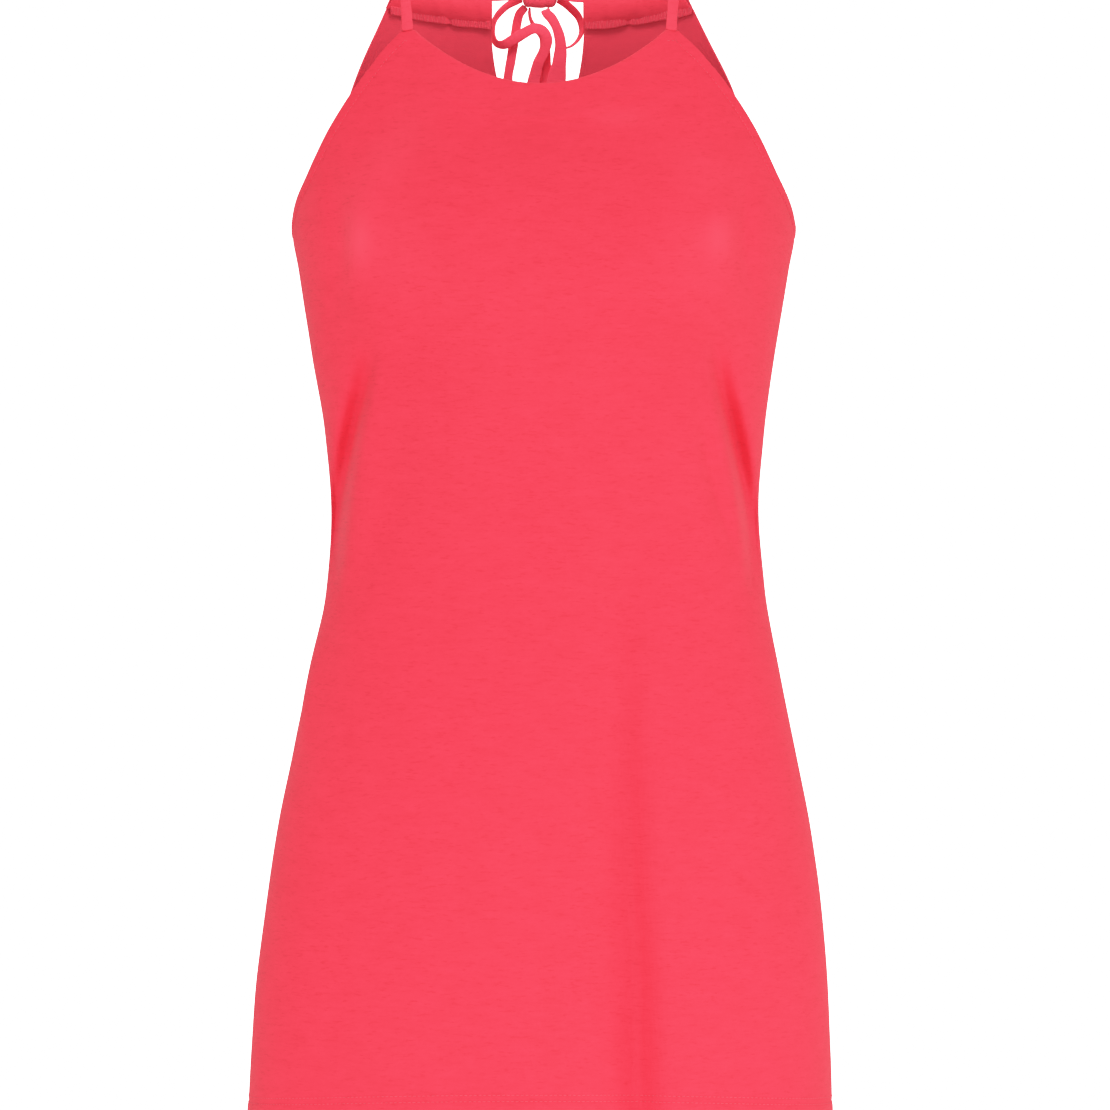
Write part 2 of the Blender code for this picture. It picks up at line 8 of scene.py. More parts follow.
import bpy
import numpy as np
from mathutils import Vector
from mathutils.bvhtree import BVHTree
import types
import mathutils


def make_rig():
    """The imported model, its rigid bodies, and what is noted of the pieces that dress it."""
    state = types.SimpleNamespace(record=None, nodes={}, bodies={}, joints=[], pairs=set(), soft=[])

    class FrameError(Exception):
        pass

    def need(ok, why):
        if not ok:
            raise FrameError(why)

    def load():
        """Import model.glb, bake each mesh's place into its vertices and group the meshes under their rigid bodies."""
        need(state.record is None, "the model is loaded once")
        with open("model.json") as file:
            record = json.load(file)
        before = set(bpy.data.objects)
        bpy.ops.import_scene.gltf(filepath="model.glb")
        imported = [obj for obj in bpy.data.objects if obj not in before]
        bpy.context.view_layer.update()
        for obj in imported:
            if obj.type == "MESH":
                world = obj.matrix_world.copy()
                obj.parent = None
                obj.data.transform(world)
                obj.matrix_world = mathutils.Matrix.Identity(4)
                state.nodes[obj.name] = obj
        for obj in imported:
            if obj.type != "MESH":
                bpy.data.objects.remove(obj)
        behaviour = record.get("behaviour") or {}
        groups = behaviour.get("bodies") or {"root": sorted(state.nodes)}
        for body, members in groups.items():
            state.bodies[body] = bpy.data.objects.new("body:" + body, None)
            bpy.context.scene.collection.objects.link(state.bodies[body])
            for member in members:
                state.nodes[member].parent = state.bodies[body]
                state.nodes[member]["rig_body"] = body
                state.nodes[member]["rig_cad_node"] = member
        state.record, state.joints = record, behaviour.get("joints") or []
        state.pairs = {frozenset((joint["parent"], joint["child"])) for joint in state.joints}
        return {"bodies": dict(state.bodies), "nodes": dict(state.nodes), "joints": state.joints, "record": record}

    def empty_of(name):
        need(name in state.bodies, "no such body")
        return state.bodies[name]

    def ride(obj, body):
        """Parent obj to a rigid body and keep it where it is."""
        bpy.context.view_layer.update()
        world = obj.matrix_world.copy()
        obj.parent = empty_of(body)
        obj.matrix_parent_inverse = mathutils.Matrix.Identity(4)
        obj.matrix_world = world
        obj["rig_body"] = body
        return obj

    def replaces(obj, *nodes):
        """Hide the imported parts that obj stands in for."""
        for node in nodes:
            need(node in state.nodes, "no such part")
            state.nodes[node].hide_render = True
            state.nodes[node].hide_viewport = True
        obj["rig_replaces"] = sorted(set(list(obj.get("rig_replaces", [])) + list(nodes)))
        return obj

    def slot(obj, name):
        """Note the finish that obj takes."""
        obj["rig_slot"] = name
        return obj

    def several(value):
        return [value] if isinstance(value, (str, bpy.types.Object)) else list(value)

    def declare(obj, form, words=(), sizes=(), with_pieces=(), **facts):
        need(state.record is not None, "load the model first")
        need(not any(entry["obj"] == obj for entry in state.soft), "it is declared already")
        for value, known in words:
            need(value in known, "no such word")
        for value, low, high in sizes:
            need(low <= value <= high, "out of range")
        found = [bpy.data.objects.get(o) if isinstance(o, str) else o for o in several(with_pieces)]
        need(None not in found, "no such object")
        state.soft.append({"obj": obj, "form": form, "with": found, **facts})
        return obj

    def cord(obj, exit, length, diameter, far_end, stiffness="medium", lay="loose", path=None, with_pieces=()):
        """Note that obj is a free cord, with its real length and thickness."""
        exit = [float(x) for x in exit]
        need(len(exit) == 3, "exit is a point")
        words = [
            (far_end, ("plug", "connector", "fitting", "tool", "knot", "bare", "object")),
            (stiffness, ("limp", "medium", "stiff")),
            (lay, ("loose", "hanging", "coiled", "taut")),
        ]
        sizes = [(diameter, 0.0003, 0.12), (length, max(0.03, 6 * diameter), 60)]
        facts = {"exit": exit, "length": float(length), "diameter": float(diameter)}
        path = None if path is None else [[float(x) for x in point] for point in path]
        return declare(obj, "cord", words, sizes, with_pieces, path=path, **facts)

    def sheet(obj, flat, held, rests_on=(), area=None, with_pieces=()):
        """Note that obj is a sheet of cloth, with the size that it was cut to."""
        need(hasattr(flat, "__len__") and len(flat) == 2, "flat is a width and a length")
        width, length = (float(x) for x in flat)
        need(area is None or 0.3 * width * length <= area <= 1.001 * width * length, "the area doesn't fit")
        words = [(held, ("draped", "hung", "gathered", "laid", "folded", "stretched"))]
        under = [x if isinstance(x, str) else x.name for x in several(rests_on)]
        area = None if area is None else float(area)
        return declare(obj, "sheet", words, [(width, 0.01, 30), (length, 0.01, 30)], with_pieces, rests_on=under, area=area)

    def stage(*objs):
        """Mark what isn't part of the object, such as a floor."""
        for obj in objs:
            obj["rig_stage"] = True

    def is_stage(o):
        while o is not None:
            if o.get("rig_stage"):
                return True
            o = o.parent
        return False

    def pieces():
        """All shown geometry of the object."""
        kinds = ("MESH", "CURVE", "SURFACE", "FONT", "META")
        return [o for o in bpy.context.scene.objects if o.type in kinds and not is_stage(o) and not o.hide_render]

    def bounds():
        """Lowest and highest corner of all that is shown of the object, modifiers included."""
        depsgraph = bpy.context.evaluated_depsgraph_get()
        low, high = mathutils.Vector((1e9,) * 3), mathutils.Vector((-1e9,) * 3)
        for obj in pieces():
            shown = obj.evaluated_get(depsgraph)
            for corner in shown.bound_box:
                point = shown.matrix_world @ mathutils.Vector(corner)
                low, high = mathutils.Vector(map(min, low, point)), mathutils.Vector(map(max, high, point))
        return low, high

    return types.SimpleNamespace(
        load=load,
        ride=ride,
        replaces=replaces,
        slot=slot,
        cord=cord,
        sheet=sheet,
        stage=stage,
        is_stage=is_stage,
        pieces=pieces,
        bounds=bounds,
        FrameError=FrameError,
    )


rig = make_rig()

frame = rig.load()
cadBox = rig.bounds()
print("frame loaded, nodes:", len(frame["nodes"]))

front = -1
back = 1

# camera: level, at waist height, looking straight at the front
view = {"distance": 5.0, "side": 0.0094, "height": -0.451, "seenWidth": 0.7437, "sensor": 0.036}


def placeCamera():
    lens = bpy.data.cameras.new("camera")
    lens.sensor_width = view["sensor"] * 1000
    lens.lens = view["sensor"] * 1000 * view["distance"] / view["seenWidth"]
    eye = bpy.data.objects.new("camera", lens)
    eye.location = (view["side"], -view["distance"], view["height"])
    eye.rotation_euler = (math.radians(90), 0.0, 0.0)
    bpy.context.scene.collection.objects.link(eye)
    bpy.context.scene.camera = eye


# finishes

class Wire:  # a shader value, so that sums can be written as sums
    def __init__(self, finish, socket):
        self.finish = finish
        self.socket = socket

    def maths(self, operation, *others):
        return self.finish.node("ShaderNodeMath", {"operation": operation}, (self, *others))

    def __add__(self, other):
        return self.maths("ADD", other)

    def __sub__(self, other):
        return self.maths("SUBTRACT", other)

    def __rsub__(self, other):
        return self.finish.node("ShaderNodeMath", {"operation": "SUBTRACT"}, (other, self))

    def __mul__(self, other):
        return self.maths("MULTIPLY", other)

    __radd__ = __add__
    __rmul__ = __mul__


class Finish:  # a material, or the world round the top, under construction
    def __init__(self, name, kind=bpy.data.materials, shader="Principled BSDF"):
        self.made = kind.new(name)
        self.made.use_nodes = True
        self.tree = self.made.node_tree
        self.shader = self.tree.nodes[shader]

    def node(self, kind, settings, values, output=0):
        made = self.tree.nodes.new(kind)
        for name, value in settings.items():
            if name == "stops":
                ramp = made.color_ramp
                while len(ramp.elements) < len(value):
                    ramp.elements.new(0.5)
                for element, (place, shade) in zip(ramp.elements, value):
                    element.position = place
                    element.color = (shade, shade, shade, 1.0)
            else:
                setattr(made, name, value)
        for place, value in values.items() if isinstance(values, dict) else enumerate(values):
            self.plug(made.inputs[place], value)
        return Wire(self, made.outputs[output])

    def plug(self, socket, value):
        if isinstance(value, Wire):
            self.tree.links.new(value.socket, socket)
        else:
            socket.default_value = value

    def feed(self, name, value):
        self.plug(self.shader.inputs[name], value)

    def clothPlace(self, across, up):  # where a point lies on the flat cloth, in units of across by up
        place = self.node("ShaderNodeAttribute", {"attribute_name": "clothPlace"}, [], "Vector")
        scale = (1 / across, 1 / up, 1.0)
        return self.node("ShaderNodeVectorMath", {"operation": "MULTIPLY"}, [place, scale])

    def axis(self, vector, name):
        return self.node("ShaderNodeSeparateXYZ", {}, [vector], name)

    def noise(self, across, up, detail=2.0, roughness=0.5):
        values = {"Vector": self.clothPlace(across, up), "Scale": 1.0, "Detail": detail, "Roughness": roughness}
        return self.node("ShaderNodeTexNoise", {}, values)

    def ramp(self, value, *stops):
        return self.node("ShaderNodeValToRGB", {"stops": stops}, [value])

    def blend(self, share, first, second):
        first, second = ((*c, 1.0) if isinstance(c, tuple) else c for c in (first, second))
        return self.node("ShaderNodeMix", {"data_type": "RGBA"}, {"Factor": share, 6: first, 7: second}, 2)

    def bump(self, height, distance):
        self.feed("Normal", self.node("ShaderNodeBump", {}, {"Height": height, "Distance": distance}))


jerseyLook = {
    "light": (0.800, 0.0270, 0.0610),  # the palest and the darkest of the melange
    "dark": (0.660, 0.0176, 0.0432),
    # the colour of the painted highlights, which at the bust also stand for paler stretched cloth
    "pale": (0.800, 0.0740, 0.1190),
    "wrongSide": (0.660, 0.0410, 0.0760),  # the paler side that shows inside
    "roughness": 0.80,
    "specular": 0.42,
    "sheen": 0.040,
    "sheenTint": (1.0, 0.72, 0.74, 1.0),
    "fleck": (0.0062, 0.0014, 3.0, 0.62),  # length along the courses, height, and the noise's detail and roughness
    "streak": (0.0140, 0.0034),
    "blotch": (0.0180, 0.0090),
    "cloud": (0.045, 0.0675, 3.0),
    "grain": (0.0022, 0.0012, 2.0, 0.6),
    "wale": 0.00075,  # width of one knit wale
    "course": 0.00060,
    "knitDepth": 0.00010,
}
# the cloth of the folded bands
foldedLook = {**jerseyLook, "light": (0.800, 0.0400, 0.0770), "dark": (0.700, 0.0280, 0.0570), "knitDepth": 0.00008}
# the bow's cloth is paler than the other bands: painted light, standing in for the light that the bow lacks in the
# shade inside the neck
tiedPaintedLightLook = {**foldedLook, "light": (0.900, 0.0640, 0.1180), "dark": (0.800, 0.0460, 0.0900)}


def jerseyFinish(name, look):
    finish = Finish(name)
    flecks, streaks, blotch, cloud, grain = (
        finish.noise(*look[part]) for part in ("fleck", "streak", "blotch", "cloud", "grain")
    )
    dash = finish.ramp(flecks, (0.29, 1.0), (0.41, 0.0))
    shade = 0.60 * flecks + 0.66 * streaks + 0.60 * blotch + 0.40 * cloud + 0.60 * grain - 0.85
    # painted light: pale painted highlights and deeper painted shade, given per point by the stretch attribute; at the
    # bust the highlights also stand for the paler look of stretched cloth
    stretched = finish.node("ShaderNodeAttribute", {"attribute_name": "stretch"}, [], "Fac")
    colour = finish.blend(shade - 0.90 * dash + stretched, look["dark"], look["light"])
    colour = finish.blend(0.30 * stretched, colour, look["pale"])
    inside = finish.ramp(finish.axis(finish.clothPlace(1.0, 1.0), "Z"), (0.55, 0.0), (0.65, 1.0))
    finish.feed("Base Color", finish.blend(0.75 * inside, colour, look["wrongSide"]))
    finish.feed("Roughness", look["roughness"] - 0.06 + 0.12 * cloud)
    # knit: rounded wales, broken by courses, a little uneven
    stitches = finish.clothPlace(look["wale"], look["course"])
    wale = (finish.axis(stitches, "X") * math.pi).maths("SINE").maths("ABSOLUTE")
    course = (finish.axis(stitches, "Y") * (2 * math.pi)).maths("SINE")
    finish.bump(0.7 * wale + 0.15 * course + 0.9 * grain + 0.5 * flecks, look["knitDepth"])
    finish.feed("Sheen Weight", look["sheen"])
    finish.feed("Sheen Roughness", 0.45)
    finish.feed("Sheen Tint", look["sheenTint"])
    finish.feed("Specular IOR Level", look["specular"])
    return finish.made


threadLook = {
    "colour": (0.760, 0.0780, 0.1230),
    "dark": (0.650, 0.0460, 0.0780),
    "roughness": 0.60,
    "ply": 0.0006,
    "depth": 0.00008,
}


def threadFinish():
    finish = Finish("sewingThread")
    twist = finish.noise(threadLook["ply"], threadLook["ply"])
    finish.feed("Base Color", finish.blend(twist, threadLook["dark"], threadLook["colour"]))
    finish.feed("Roughness", threadLook["roughness"])
    finish.bump(twist, threadLook["depth"])
    finish.feed("Specular IOR Level", 0.4)
    return finish.made


# reading tables

unitless = ("turn", "lean", "amount", "runOut", "open")


def metres(kind, *rows):  # a table whose rows give their lengths in millimetres
    return [
        kind(*(v if name in unitless else np.array(v) / 1000 for name, v in zip(kind._fields, row)))
        for row in rows
    ]


def between(t, step, low, high, lowSlope, highSlope):
    rise = (3 - 2 * t) * t * t
    start = t * (1 - t) ** 2 * step * lowSlope
    end = t * t * (t - 1) * step * highSlope
    return low * (1 - rise) + high * rise + start + end


def smoothRead(at, table, column):  # through every row of a table, without overshooting
    px, py = (np.array([getattr(row, name) for row in table]) for name in ("height", column))
    order = np.argsort(px)
    px, py = px[order], py[order]
    step = np.diff(px)
    slope = np.diff(py) / step
    sameWay = slope[:-1] * slope[1:] > 0
    total = np.where(sameWay, slope[:-1] + slope[1:], 1.0)
    inner = np.where(sameWay, 2 * slope[:-1] * slope[1:] / total, 0.0)
    tangent = np.concatenate([slope[:1], inner, slope[-1:]])
    at = np.clip(at, px[0], px[-1])
    k = np.clip(np.searchsorted(px, at) - 1, 0, len(step) - 1)
    return between((at - px[k]) / step[k], step[k], py[k], py[k + 1], tangent[k], tangent[k + 1])


def cubicRead(at, places, values):  # through every stop of a route, free to swing a little past them
    last = len(places) - 1
    k = min(max(int(np.searchsorted(places, at)) - 1, 0), last - 1)

    def tangent(i):
        before, after = max(i - 1, 0), min(i + 1, last)
        return (values[after] - values[before]) / (places[after] - places[before])

    step = places[k + 1] - places[k]
    return between((at - places[k]) / step, step, values[k], values[k + 1], tangent(k), tangent(k + 1))


def signedPower(value, power):
    return np.sign(value) * np.abs(value) ** power


def softStep(value):
    t = np.clip(value, 0.0, 1.0)
    return t * t * (3 - 2 * t)


def bell(value):
    return np.exp(-0.5 * value * value)


# the form that the cloth lies on

form = {
    "roundness": 2.25,  # 2 is an ellipse, more is squarer
    "seamGap": 0.0003,
    "underarm": -0.232,
    "hemSide": -0.831,
    "hemRise": 0.008,
    "bustOut": 0.013,
    "bustApart": 0.088,
    "bustHeight": -0.246,
    "bustSpread": 0.046,
    "bustReach": 0.062,
}

Section = namedtuple("Section", "height centre halfWidth front back")
sections = metres(
    Section,
    (-55, -1.5, 131, 74, 67), (-79, -1, 138, 80, 73), (-105, -0.5, 145, 86, 79), (-141, 1, 155.5, 96, 88),
    (-175, 1.3, 163.5, 104, 93.5), (-206, 1.3, 167.5, 112, 96), (-232, 1.3, 168.5, 115.5, 95.7),
    (-260, 1.3, 164.2, 116, 94), (-314, 1.5, 155.4, 109, 86), (-367, 2.5, 147.4, 102, 79),
    (-421, 2.7, 143.4, 98.5, 76.5), (-474, 3, 147.4, 99, 82), (-528, 2.7, 157.5, 103, 93),
    (-582, 2.7, 168.2, 107, 104), (-635, 2.5, 178.6, 110, 111), (-689, 2, 186.3, 112, 113.5),
    (-742, 0.7, 191.6, 114.5, 115), (-831, -0.7, 196, 119, 118),
)

# the largest folds, as straight troughs in the view from the front, deepest at the foot if runOut is 1
Fold = namedtuple("Fold", "topX topHeight footX footHeight spread depth runOut", defaults=[0])
folds = {
    front: [],
    back: metres(
        Fold,
        (-60, -500, -86, -831, 17, 9, 1),
        (30, -560, 48, -831, 19, 7, 1),
        (120, -330, 60, -440, 9, 5),
        (-124, -320, -70, -430, 9, 5),
        (-126, -400, -90, -520, 9, 4.5),
    ),
}

# creases, as smooth lines on the cloth through places given by x and height; a negative depth is a ridge.
# spreads are the one towards -X and the one towards +X, or towards the hem and the neck where a crease is level.
# open creases run out over the hem, and the others fade at both ends
Crease = namedtuple("Crease", "path spreads depth open", defaults=[0])
creases = {
    front: metres(
        Crease,
        # the ridges that run beside the deep drag folds
        ([(-100, -330), (-110, -365), (-120, -410), (-130, -470)], (6, 8), -1),
        ([(106, -330), (118, -370), (128, -410), (138, -470)], (6, 6), -1.4),
        # shallow ones further in
        ([(-92, -350), (-100, -382), (-104, -426), (-115, -455), (-135, -490)], (8, 12), 3.4),
        ([(102, -340), (108.7, -368), (113.3, -393), (120, -418), (132, -455)], (5, 4.2), 3),
        # the skirt's trough on the wearer's left, with its steeper side there, and the broad ones between
        ([(49, -430), (50.7, -454), (55.3, -546), (57.2, -611.5), (60.5, -677), (63.5, -710),
         (65.5, -782), (67, -831)], (18, 7.8), 17, 1),
        ([(14, -600), (16, -680), (14, -740), (10, -800)], (22, 22), 3),
        ([(52, -260), (60, -340), (70, -420), (60, -500)], (17, 17), 2.4),
        ([(-74, -260), (-88, -330), (-92, -420), (-90, -500)], (15, 15), 2.4),
        ([(-50, -600), (-58, -700), (-54, -831)], (16, 16), 1.6, 1),
        ([(-120, -620), (-132, -700), (-140, -831)], (13, 13), 1.6, 1),
        ([(120, -600), (130, -700), (128, -831)], (14, 14), 1.4, 1),
        # under the bust, and from the armholes towards it
        ([(-150, -318), (-115, -322), (-70, -322), (-30, -312)], (20, 20), 7),
        ([(30, -312), (70, -322), (110, -322), (150, -314)], (20, 20), 7.5),
        ([(-140, -185), (-133, -235), (-134, -270), (-140, -310)], (8, 8), 2.4),
        ([(138, -190), (136, -240), (146, -300)], (7, 7), 1.6),
        ([(-94, -165), (-104, -200), (-119, -242), (-120, -275)], (11, 11), -3),
        ([(-119, -225), (-120.5, -244), (-119, -265)], (6, 6), -1.6),
        ([(117, -215), (118.5, -242), (117, -268)], (7.5, 7.5), -1.8),
        ([(-145, -490), (-154, -545), (-160, -590)], (12, 12), -3),
        # small marks near the neck and the middle
        ([(53, -165), (58, -169), (66, -170)], (1.6, 1.6), -0.6),
        ([(66, -155.5), (71, -157), (78, -156)], (1.4, 1.4), -0.5),
        ([(96.5, -112), (98, -135), (103, -165)], (2.8, 2.8), 1.2),
        ([(-78.5, -112), (-77.5, -125), (-80, -140)], (2, 2), 0.6),
        ([(-4, -352), (0, -353.5), (5, -352.5)], (1.2, 1.2), 0.3),
    ),
    back: metres(
        Crease,
        ([(112, -325), (80, -368), (22, -398)], (7.5, 6), 5.8),
        ([(-118, -298), (-64, -345), (-8, -362)], (7, 5.5), 4.8),
        ([(130, -392), (90, -440), (26, -462)], (8, 6.5), 5.4),
        ([(-128, -372), (-80, -410), (-26, -418)], (6.5, 5.5), 4.6),
        ([(-128, -450), (-102, -500), (-96, -580)], (7, 8), 4.8),
        ([(128, -445), (108, -495), (100, -565)], (8, 7), 4.2),
        ([(-144, -215), (-120, -244), (-84, -256)], (6, 5), 3.2),
        ([(144, -212), (118, -244), (78, -260)], (6, 5), 3.4),
        ([(-34, -158), (-40, -190), (-55, -240)], (5, 6), 2.6),
        ([(30, -158), (36, -195), (46, -250)], (6, 5), 2.4),
        ([(92, -590), (102, -700), (110, -831)], (13, 10), 5, 1),
        ([(-8, -600), (-14, -700), (-20, -831)], (15, 11), 4.6, 1),
        ([(-128, -600), (-140, -700), (-146, -831)], (10, 13), 4.2, 1),
    ),
}

# the deep drag folds at the sides of the waist, pushed straight back behind the front's lip
dragFolds = {
    front: metres(
        Crease,
        ([(-110.5, -308), (-114, -324.6), (-117.8, -341.3), (-123.2, -361.2), (-127.6, -381.2),
         (-131.6, -401.1), (-134.6, -421.1), (-136.6, -440), (-138.8, -480)], (5.4, 3.4), 26),
        ([(113.5, -308), (116.8, -324.6), (120.3, -341.3), (125.4, -361.2), (130.4, -381.2),
         (134.6, -401.1), (137.8, -421.1), (139.8, -440), (142.2, -480)], (3.4, 5.4), 26),
    ),
    back: metres(
        Crease,
        ([(-108, -315), (-118, -342), (-124.5, -370), (-129, -405), (-133, -450)], (3.6, 2.8), 8),
        ([(111, -308), (120, -335), (126, -360), (131, -395), (136, -440)], (2.8, 3.6), 9),
    ),
}


def sectionAt(height, column):
    return smoothRead(height, sections, column)


def formTurn(x, height):  # how far round the section: 0 at the wearer's right side, pi at the left
    share = np.clip((x - sectionAt(height, "centre")) / sectionAt(height, "halfWidth"), -1.0, 1.0)
    return np.arccos(-signedPower(share, form["roundness"] / 2))


def bustRise(x, height):
    sides = sum(bell((x - side * form["bustApart"]) / form["bustSpread"]) for side in (-1, 1))
    return form["bustOut"] * sides * bell((height - form["bustHeight"]) / form["bustReach"])


def foldDepth(side, x, height):
    total = np.zeros_like(x)
    for fold in folds[side]:
        alongX, alongZ = fold.footX - fold.topX, fold.footHeight - fold.topHeight
        share = ((x - fold.topX) * alongX + (height - fold.topHeight) * alongZ) / (alongX**2 + alongZ**2)
        share = np.clip(share, 0.0, 1.0)
        off = np.hypot(x - fold.topX - share * alongX, height - fold.topHeight - share * alongZ)
        total += fold.depth * np.sin(math.pi * share * (1 - fold.runOut / 2)) * bell(off / fold.spread)
    return total


def formPoint(side, turn, height):
    turn, height = np.broadcast_arrays(np.asarray(turn, float), np.asarray(height, float))
    half = sectionAt(height, "halfWidth")
    depth = sectionAt(height, "front" if side == front else "back")
    power = 2 / form["roundness"]
    offX = -half * signedPower(np.cos(turn), power)
    offY = depth * np.maximum(np.sin(turn), 0.0) ** power
    x = sectionAt(height, "centre") + offX
    if side == front:
        offY = offY + bustRise(offX, height) * np.sin(turn)
    outX = signedPower(offX / half, form["roundness"] - 1) / half
    outY = side * (offY / depth) ** (form["roundness"] - 1) / depth
    length = np.hypot(outX, outY)
    trough = foldDepth(side, x, height) * softStep(np.sin(turn) / 0.3)
    y = side * (offY + form["seamGap"] / 2)
    return np.stack([x - outX / length * trough, y - outY / length * trough, height], axis=-1)


def surfacePoint(side, x, height):
    return formPoint(side, formTurn(np.asarray(x, float), np.asarray(height, float)), height)


# how far round the cloth a place is from the panel's middle, read from level lines round the form
arcTurns = np.linspace(0.0, math.pi, 181)
arcHeights = np.linspace(-0.84, -0.05, 60)


def arcTable(side):
    points = formPoint(side, arcTurns[None, :], arcHeights[:, None])
    steps = np.linalg.norm(np.diff(points, axis=1), axis=2)
    along = np.concatenate([np.zeros((len(arcHeights), 1)), np.cumsum(steps, axis=1)], axis=1)
    return along - along[:, 90:91]


arcs = {side: arcTable(side) for side in (front, back)}


def roundCloth(side, turn, height):
    row = np.clip((height - arcHeights[0]) / (arcHeights[1] - arcHeights[0]), 0, len(arcHeights) - 1.001)
    column = np.clip(turn / arcTurns[1], 0, len(arcTurns) - 1.001)
    i, j = row.astype(int), column.astype(int)
    a, b = row - i, column - j
    table = arcs[side]
    low = table[i, j] * (1 - b) + table[i, j + 1] * b
    high = table[i + 1, j] * (1 - b) + table[i + 1, j + 1] * b
    return low * (1 - a) + high * a


def lengthsAlong(line):
    return np.concatenate([[0], np.cumsum(np.linalg.norm(np.diff(line, axis=0), axis=1))])


def heading(line, k, reach=1):  # which way a line runs at one of its points
    return line[min(k + reach, len(line) - 1)] - line[max(k - reach, 0)]


def alongLine(spots, line):  # from every spot to its nearest place on a line: the way there, how far, how far along
    a, b = line[:-1], line[1:]
    spots = spots[:, None, :]
    share = np.clip(((spots - a) * (b - a)).sum(-1) / ((b - a) ** 2).sum(-1), 0, 1)
    off = spots - a - share[..., None] * (b - a)
    away = np.linalg.norm(off, axis=-1)
    best = away.argmin(axis=1)
    rows = np.arange(len(best))
    return off[rows, best], away[rows, best], (best + share[rows, best]) / len(a)


def crossingDepth(table, place, across):
    total = np.zeros(place.shape[:-1])
    for crease in table:
        ends = crease.path
        steps = lengthsAlong(ends)
        at = np.linspace(0, steps[-1], 25)
        line = np.array([[cubicRead(t, steps, ends[:, k]) for k in range(2)] for t in at])
        line[:, 0] = across(line[:, 0], line[:, 1])
        reach = 4 * max(crease.spreads)
        near = ((place > line.min(axis=0) - reach) & (place < line.max(axis=0) + reach)).all(axis=-1)
        off, away, along = alongLine(place[near], line)
        level = int(np.ptp(line[:, 0]) >= np.ptp(line[:, 1]))
        spread = np.where(off[:, level] < 0, *crease.spreads)
        fade = np.sin(math.pi / (2 if crease.open else 1) * along)
        total[near] += crease.depth * fade * bell(away / spread)
    return total


def creaseDepth(side, place):  # place is round the cloth and height, for every point
    return crossingDepth(creases[side], place, lambda x, height: roundCloth(side, formTurn(x, height), height))


def dragDepth(side, points, turns):  # none at the side seams
    return crossingDepth(dragFolds[side], points[..., ::2], lambda x, height: x) * softStep(np.sin(turns) / 0.24)


# making meshes

def addPiece(name, points, faces, material, place, slot, node=None, stretch=None):
    mesh = bpy.data.meshes.new(name)
    mesh.from_pydata([tuple(p) for p in points], [], faces)
    mesh.validate()
    mesh.shade_smooth()
    mesh.materials.append(material)
    where = mesh.attributes.new("clothPlace", "FLOAT_VECTOR", "POINT")
    where.data.foreach_set("vector", np.asarray(place, np.float32).ravel())
    # the amount of painted highlight and painted shade at each point, kept as stretch
    if stretch is not None:
        amount = mesh.attributes.new("stretch", "FLOAT", "POINT")
        amount.data.foreach_set("value", np.resize(np.asarray(stretch, np.float32), len(mesh.vertices)))
    piece = bpy.data.objects.new(name, mesh)
    bpy.context.scene.collection.objects.link(piece)
    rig.ride(piece, "root")
    if node:
        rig.replaces(piece, node)
    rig.slot(piece, slot)
    return piece


def gridNormals(points, side):
    normals = np.cross(np.gradient(points, axis=1), np.gradient(points, axis=0))
    normals /= np.linalg.norm(normals, axis=2, keepdims=True)
    return normals * np.sign((normals[..., 1] * side).mean())


def unit(vectors):
    return vectors / np.maximum(np.linalg.norm(vectors, axis=-1, keepdims=True), 1e-12)


def gridFaces(rows, columns):
    index = np.arange(rows * columns).reshape(rows, columns)
    return index, np.stack([index[:-1, :-1], index[:-1, 1:], index[1:, 1:], index[1:, :-1]], axis=-1).reshape(-1, 4)


def tubeFaces(rings, corners, start=0):
    return [
        [start + a * corners + b for a, b in ((k, m), (k, (m + 1) % corners), (k + 1, (m + 1) % corners), (k + 1, m))]
        for k in range(rings) for m in range(corners)
    ]


def shell(outer, normals, thickness, place):
    # a closed thin wall whose edges are rounded, from a grid of points on its outer face
    rows, columns = outer.shape[:2]
    thickness = np.broadcast_to(thickness, (rows, columns))
    inner = outer - normals * thickness[..., None]
    border = [(0, j) for j in range(columns)]
    border += [(i, columns - 1) for i in range(1, rows)]
    border += [(rows - 1, j) for j in range(columns - 2, -1, -1)]
    border += [(i, 0) for i in range(rows - 2, 0, -1)]
    index, outside = gridFaces(rows, columns)
    count = rows * columns
    rim, rimPlace = [], []
    for i, j in border:
        away = outer[i, j] - outer[min(max(i, 1), rows - 2), min(max(j, 1), columns - 2)]
        away = unit(away - normals[i, j] * away.dot(normals[i, j]))
        half = thickness[i, j] / 2
        rim.append(outer[i, j] - normals[i, j] * half + away * half * 0.9)
        rimPlace.append(place[i, j])
    points = np.concatenate([outer.reshape(-1, 3), inner.reshape(-1, 3), np.array(rim)])
    # faces look out: compare one face's own normal with the grid's
    middle = outside[len(outside) // 2]
    p = points[middle]
    turned = np.cross(p[1] - p[0], p[2] - p[0]).dot(normals.reshape(-1, 3)[middle[0]]) < 0
    if turned:
        outside = outside[:, ::-1]
    faces = outside.tolist() + (outside[:, ::-1] + count).tolist()
    ring = [int(index[i, j]) for i, j in border]
    for k, here in enumerate(ring):
        m = (k + 1) % len(ring)
        edges = [here, ring[m], 2 * count + m, 2 * count + k]
        behind = [2 * count + k, 2 * count + m, ring[m] + count, here + count]
        faces += [edges, behind] if turned else [edges[::-1], behind[::-1]]
    flat = place.reshape(-1, 3)
    within = flat + (0.0, 0.0, 1.0)  # marks the cloth's wrong side
    return points, faces, np.concatenate([flat, within, np.array(rimPlace)])


def edgeDistance(points, line):  # from every grid point to a line of points
    return np.array([alongLine(row, line)[1] for row in points])


# the edges of the panels, from the wearer's right to the left

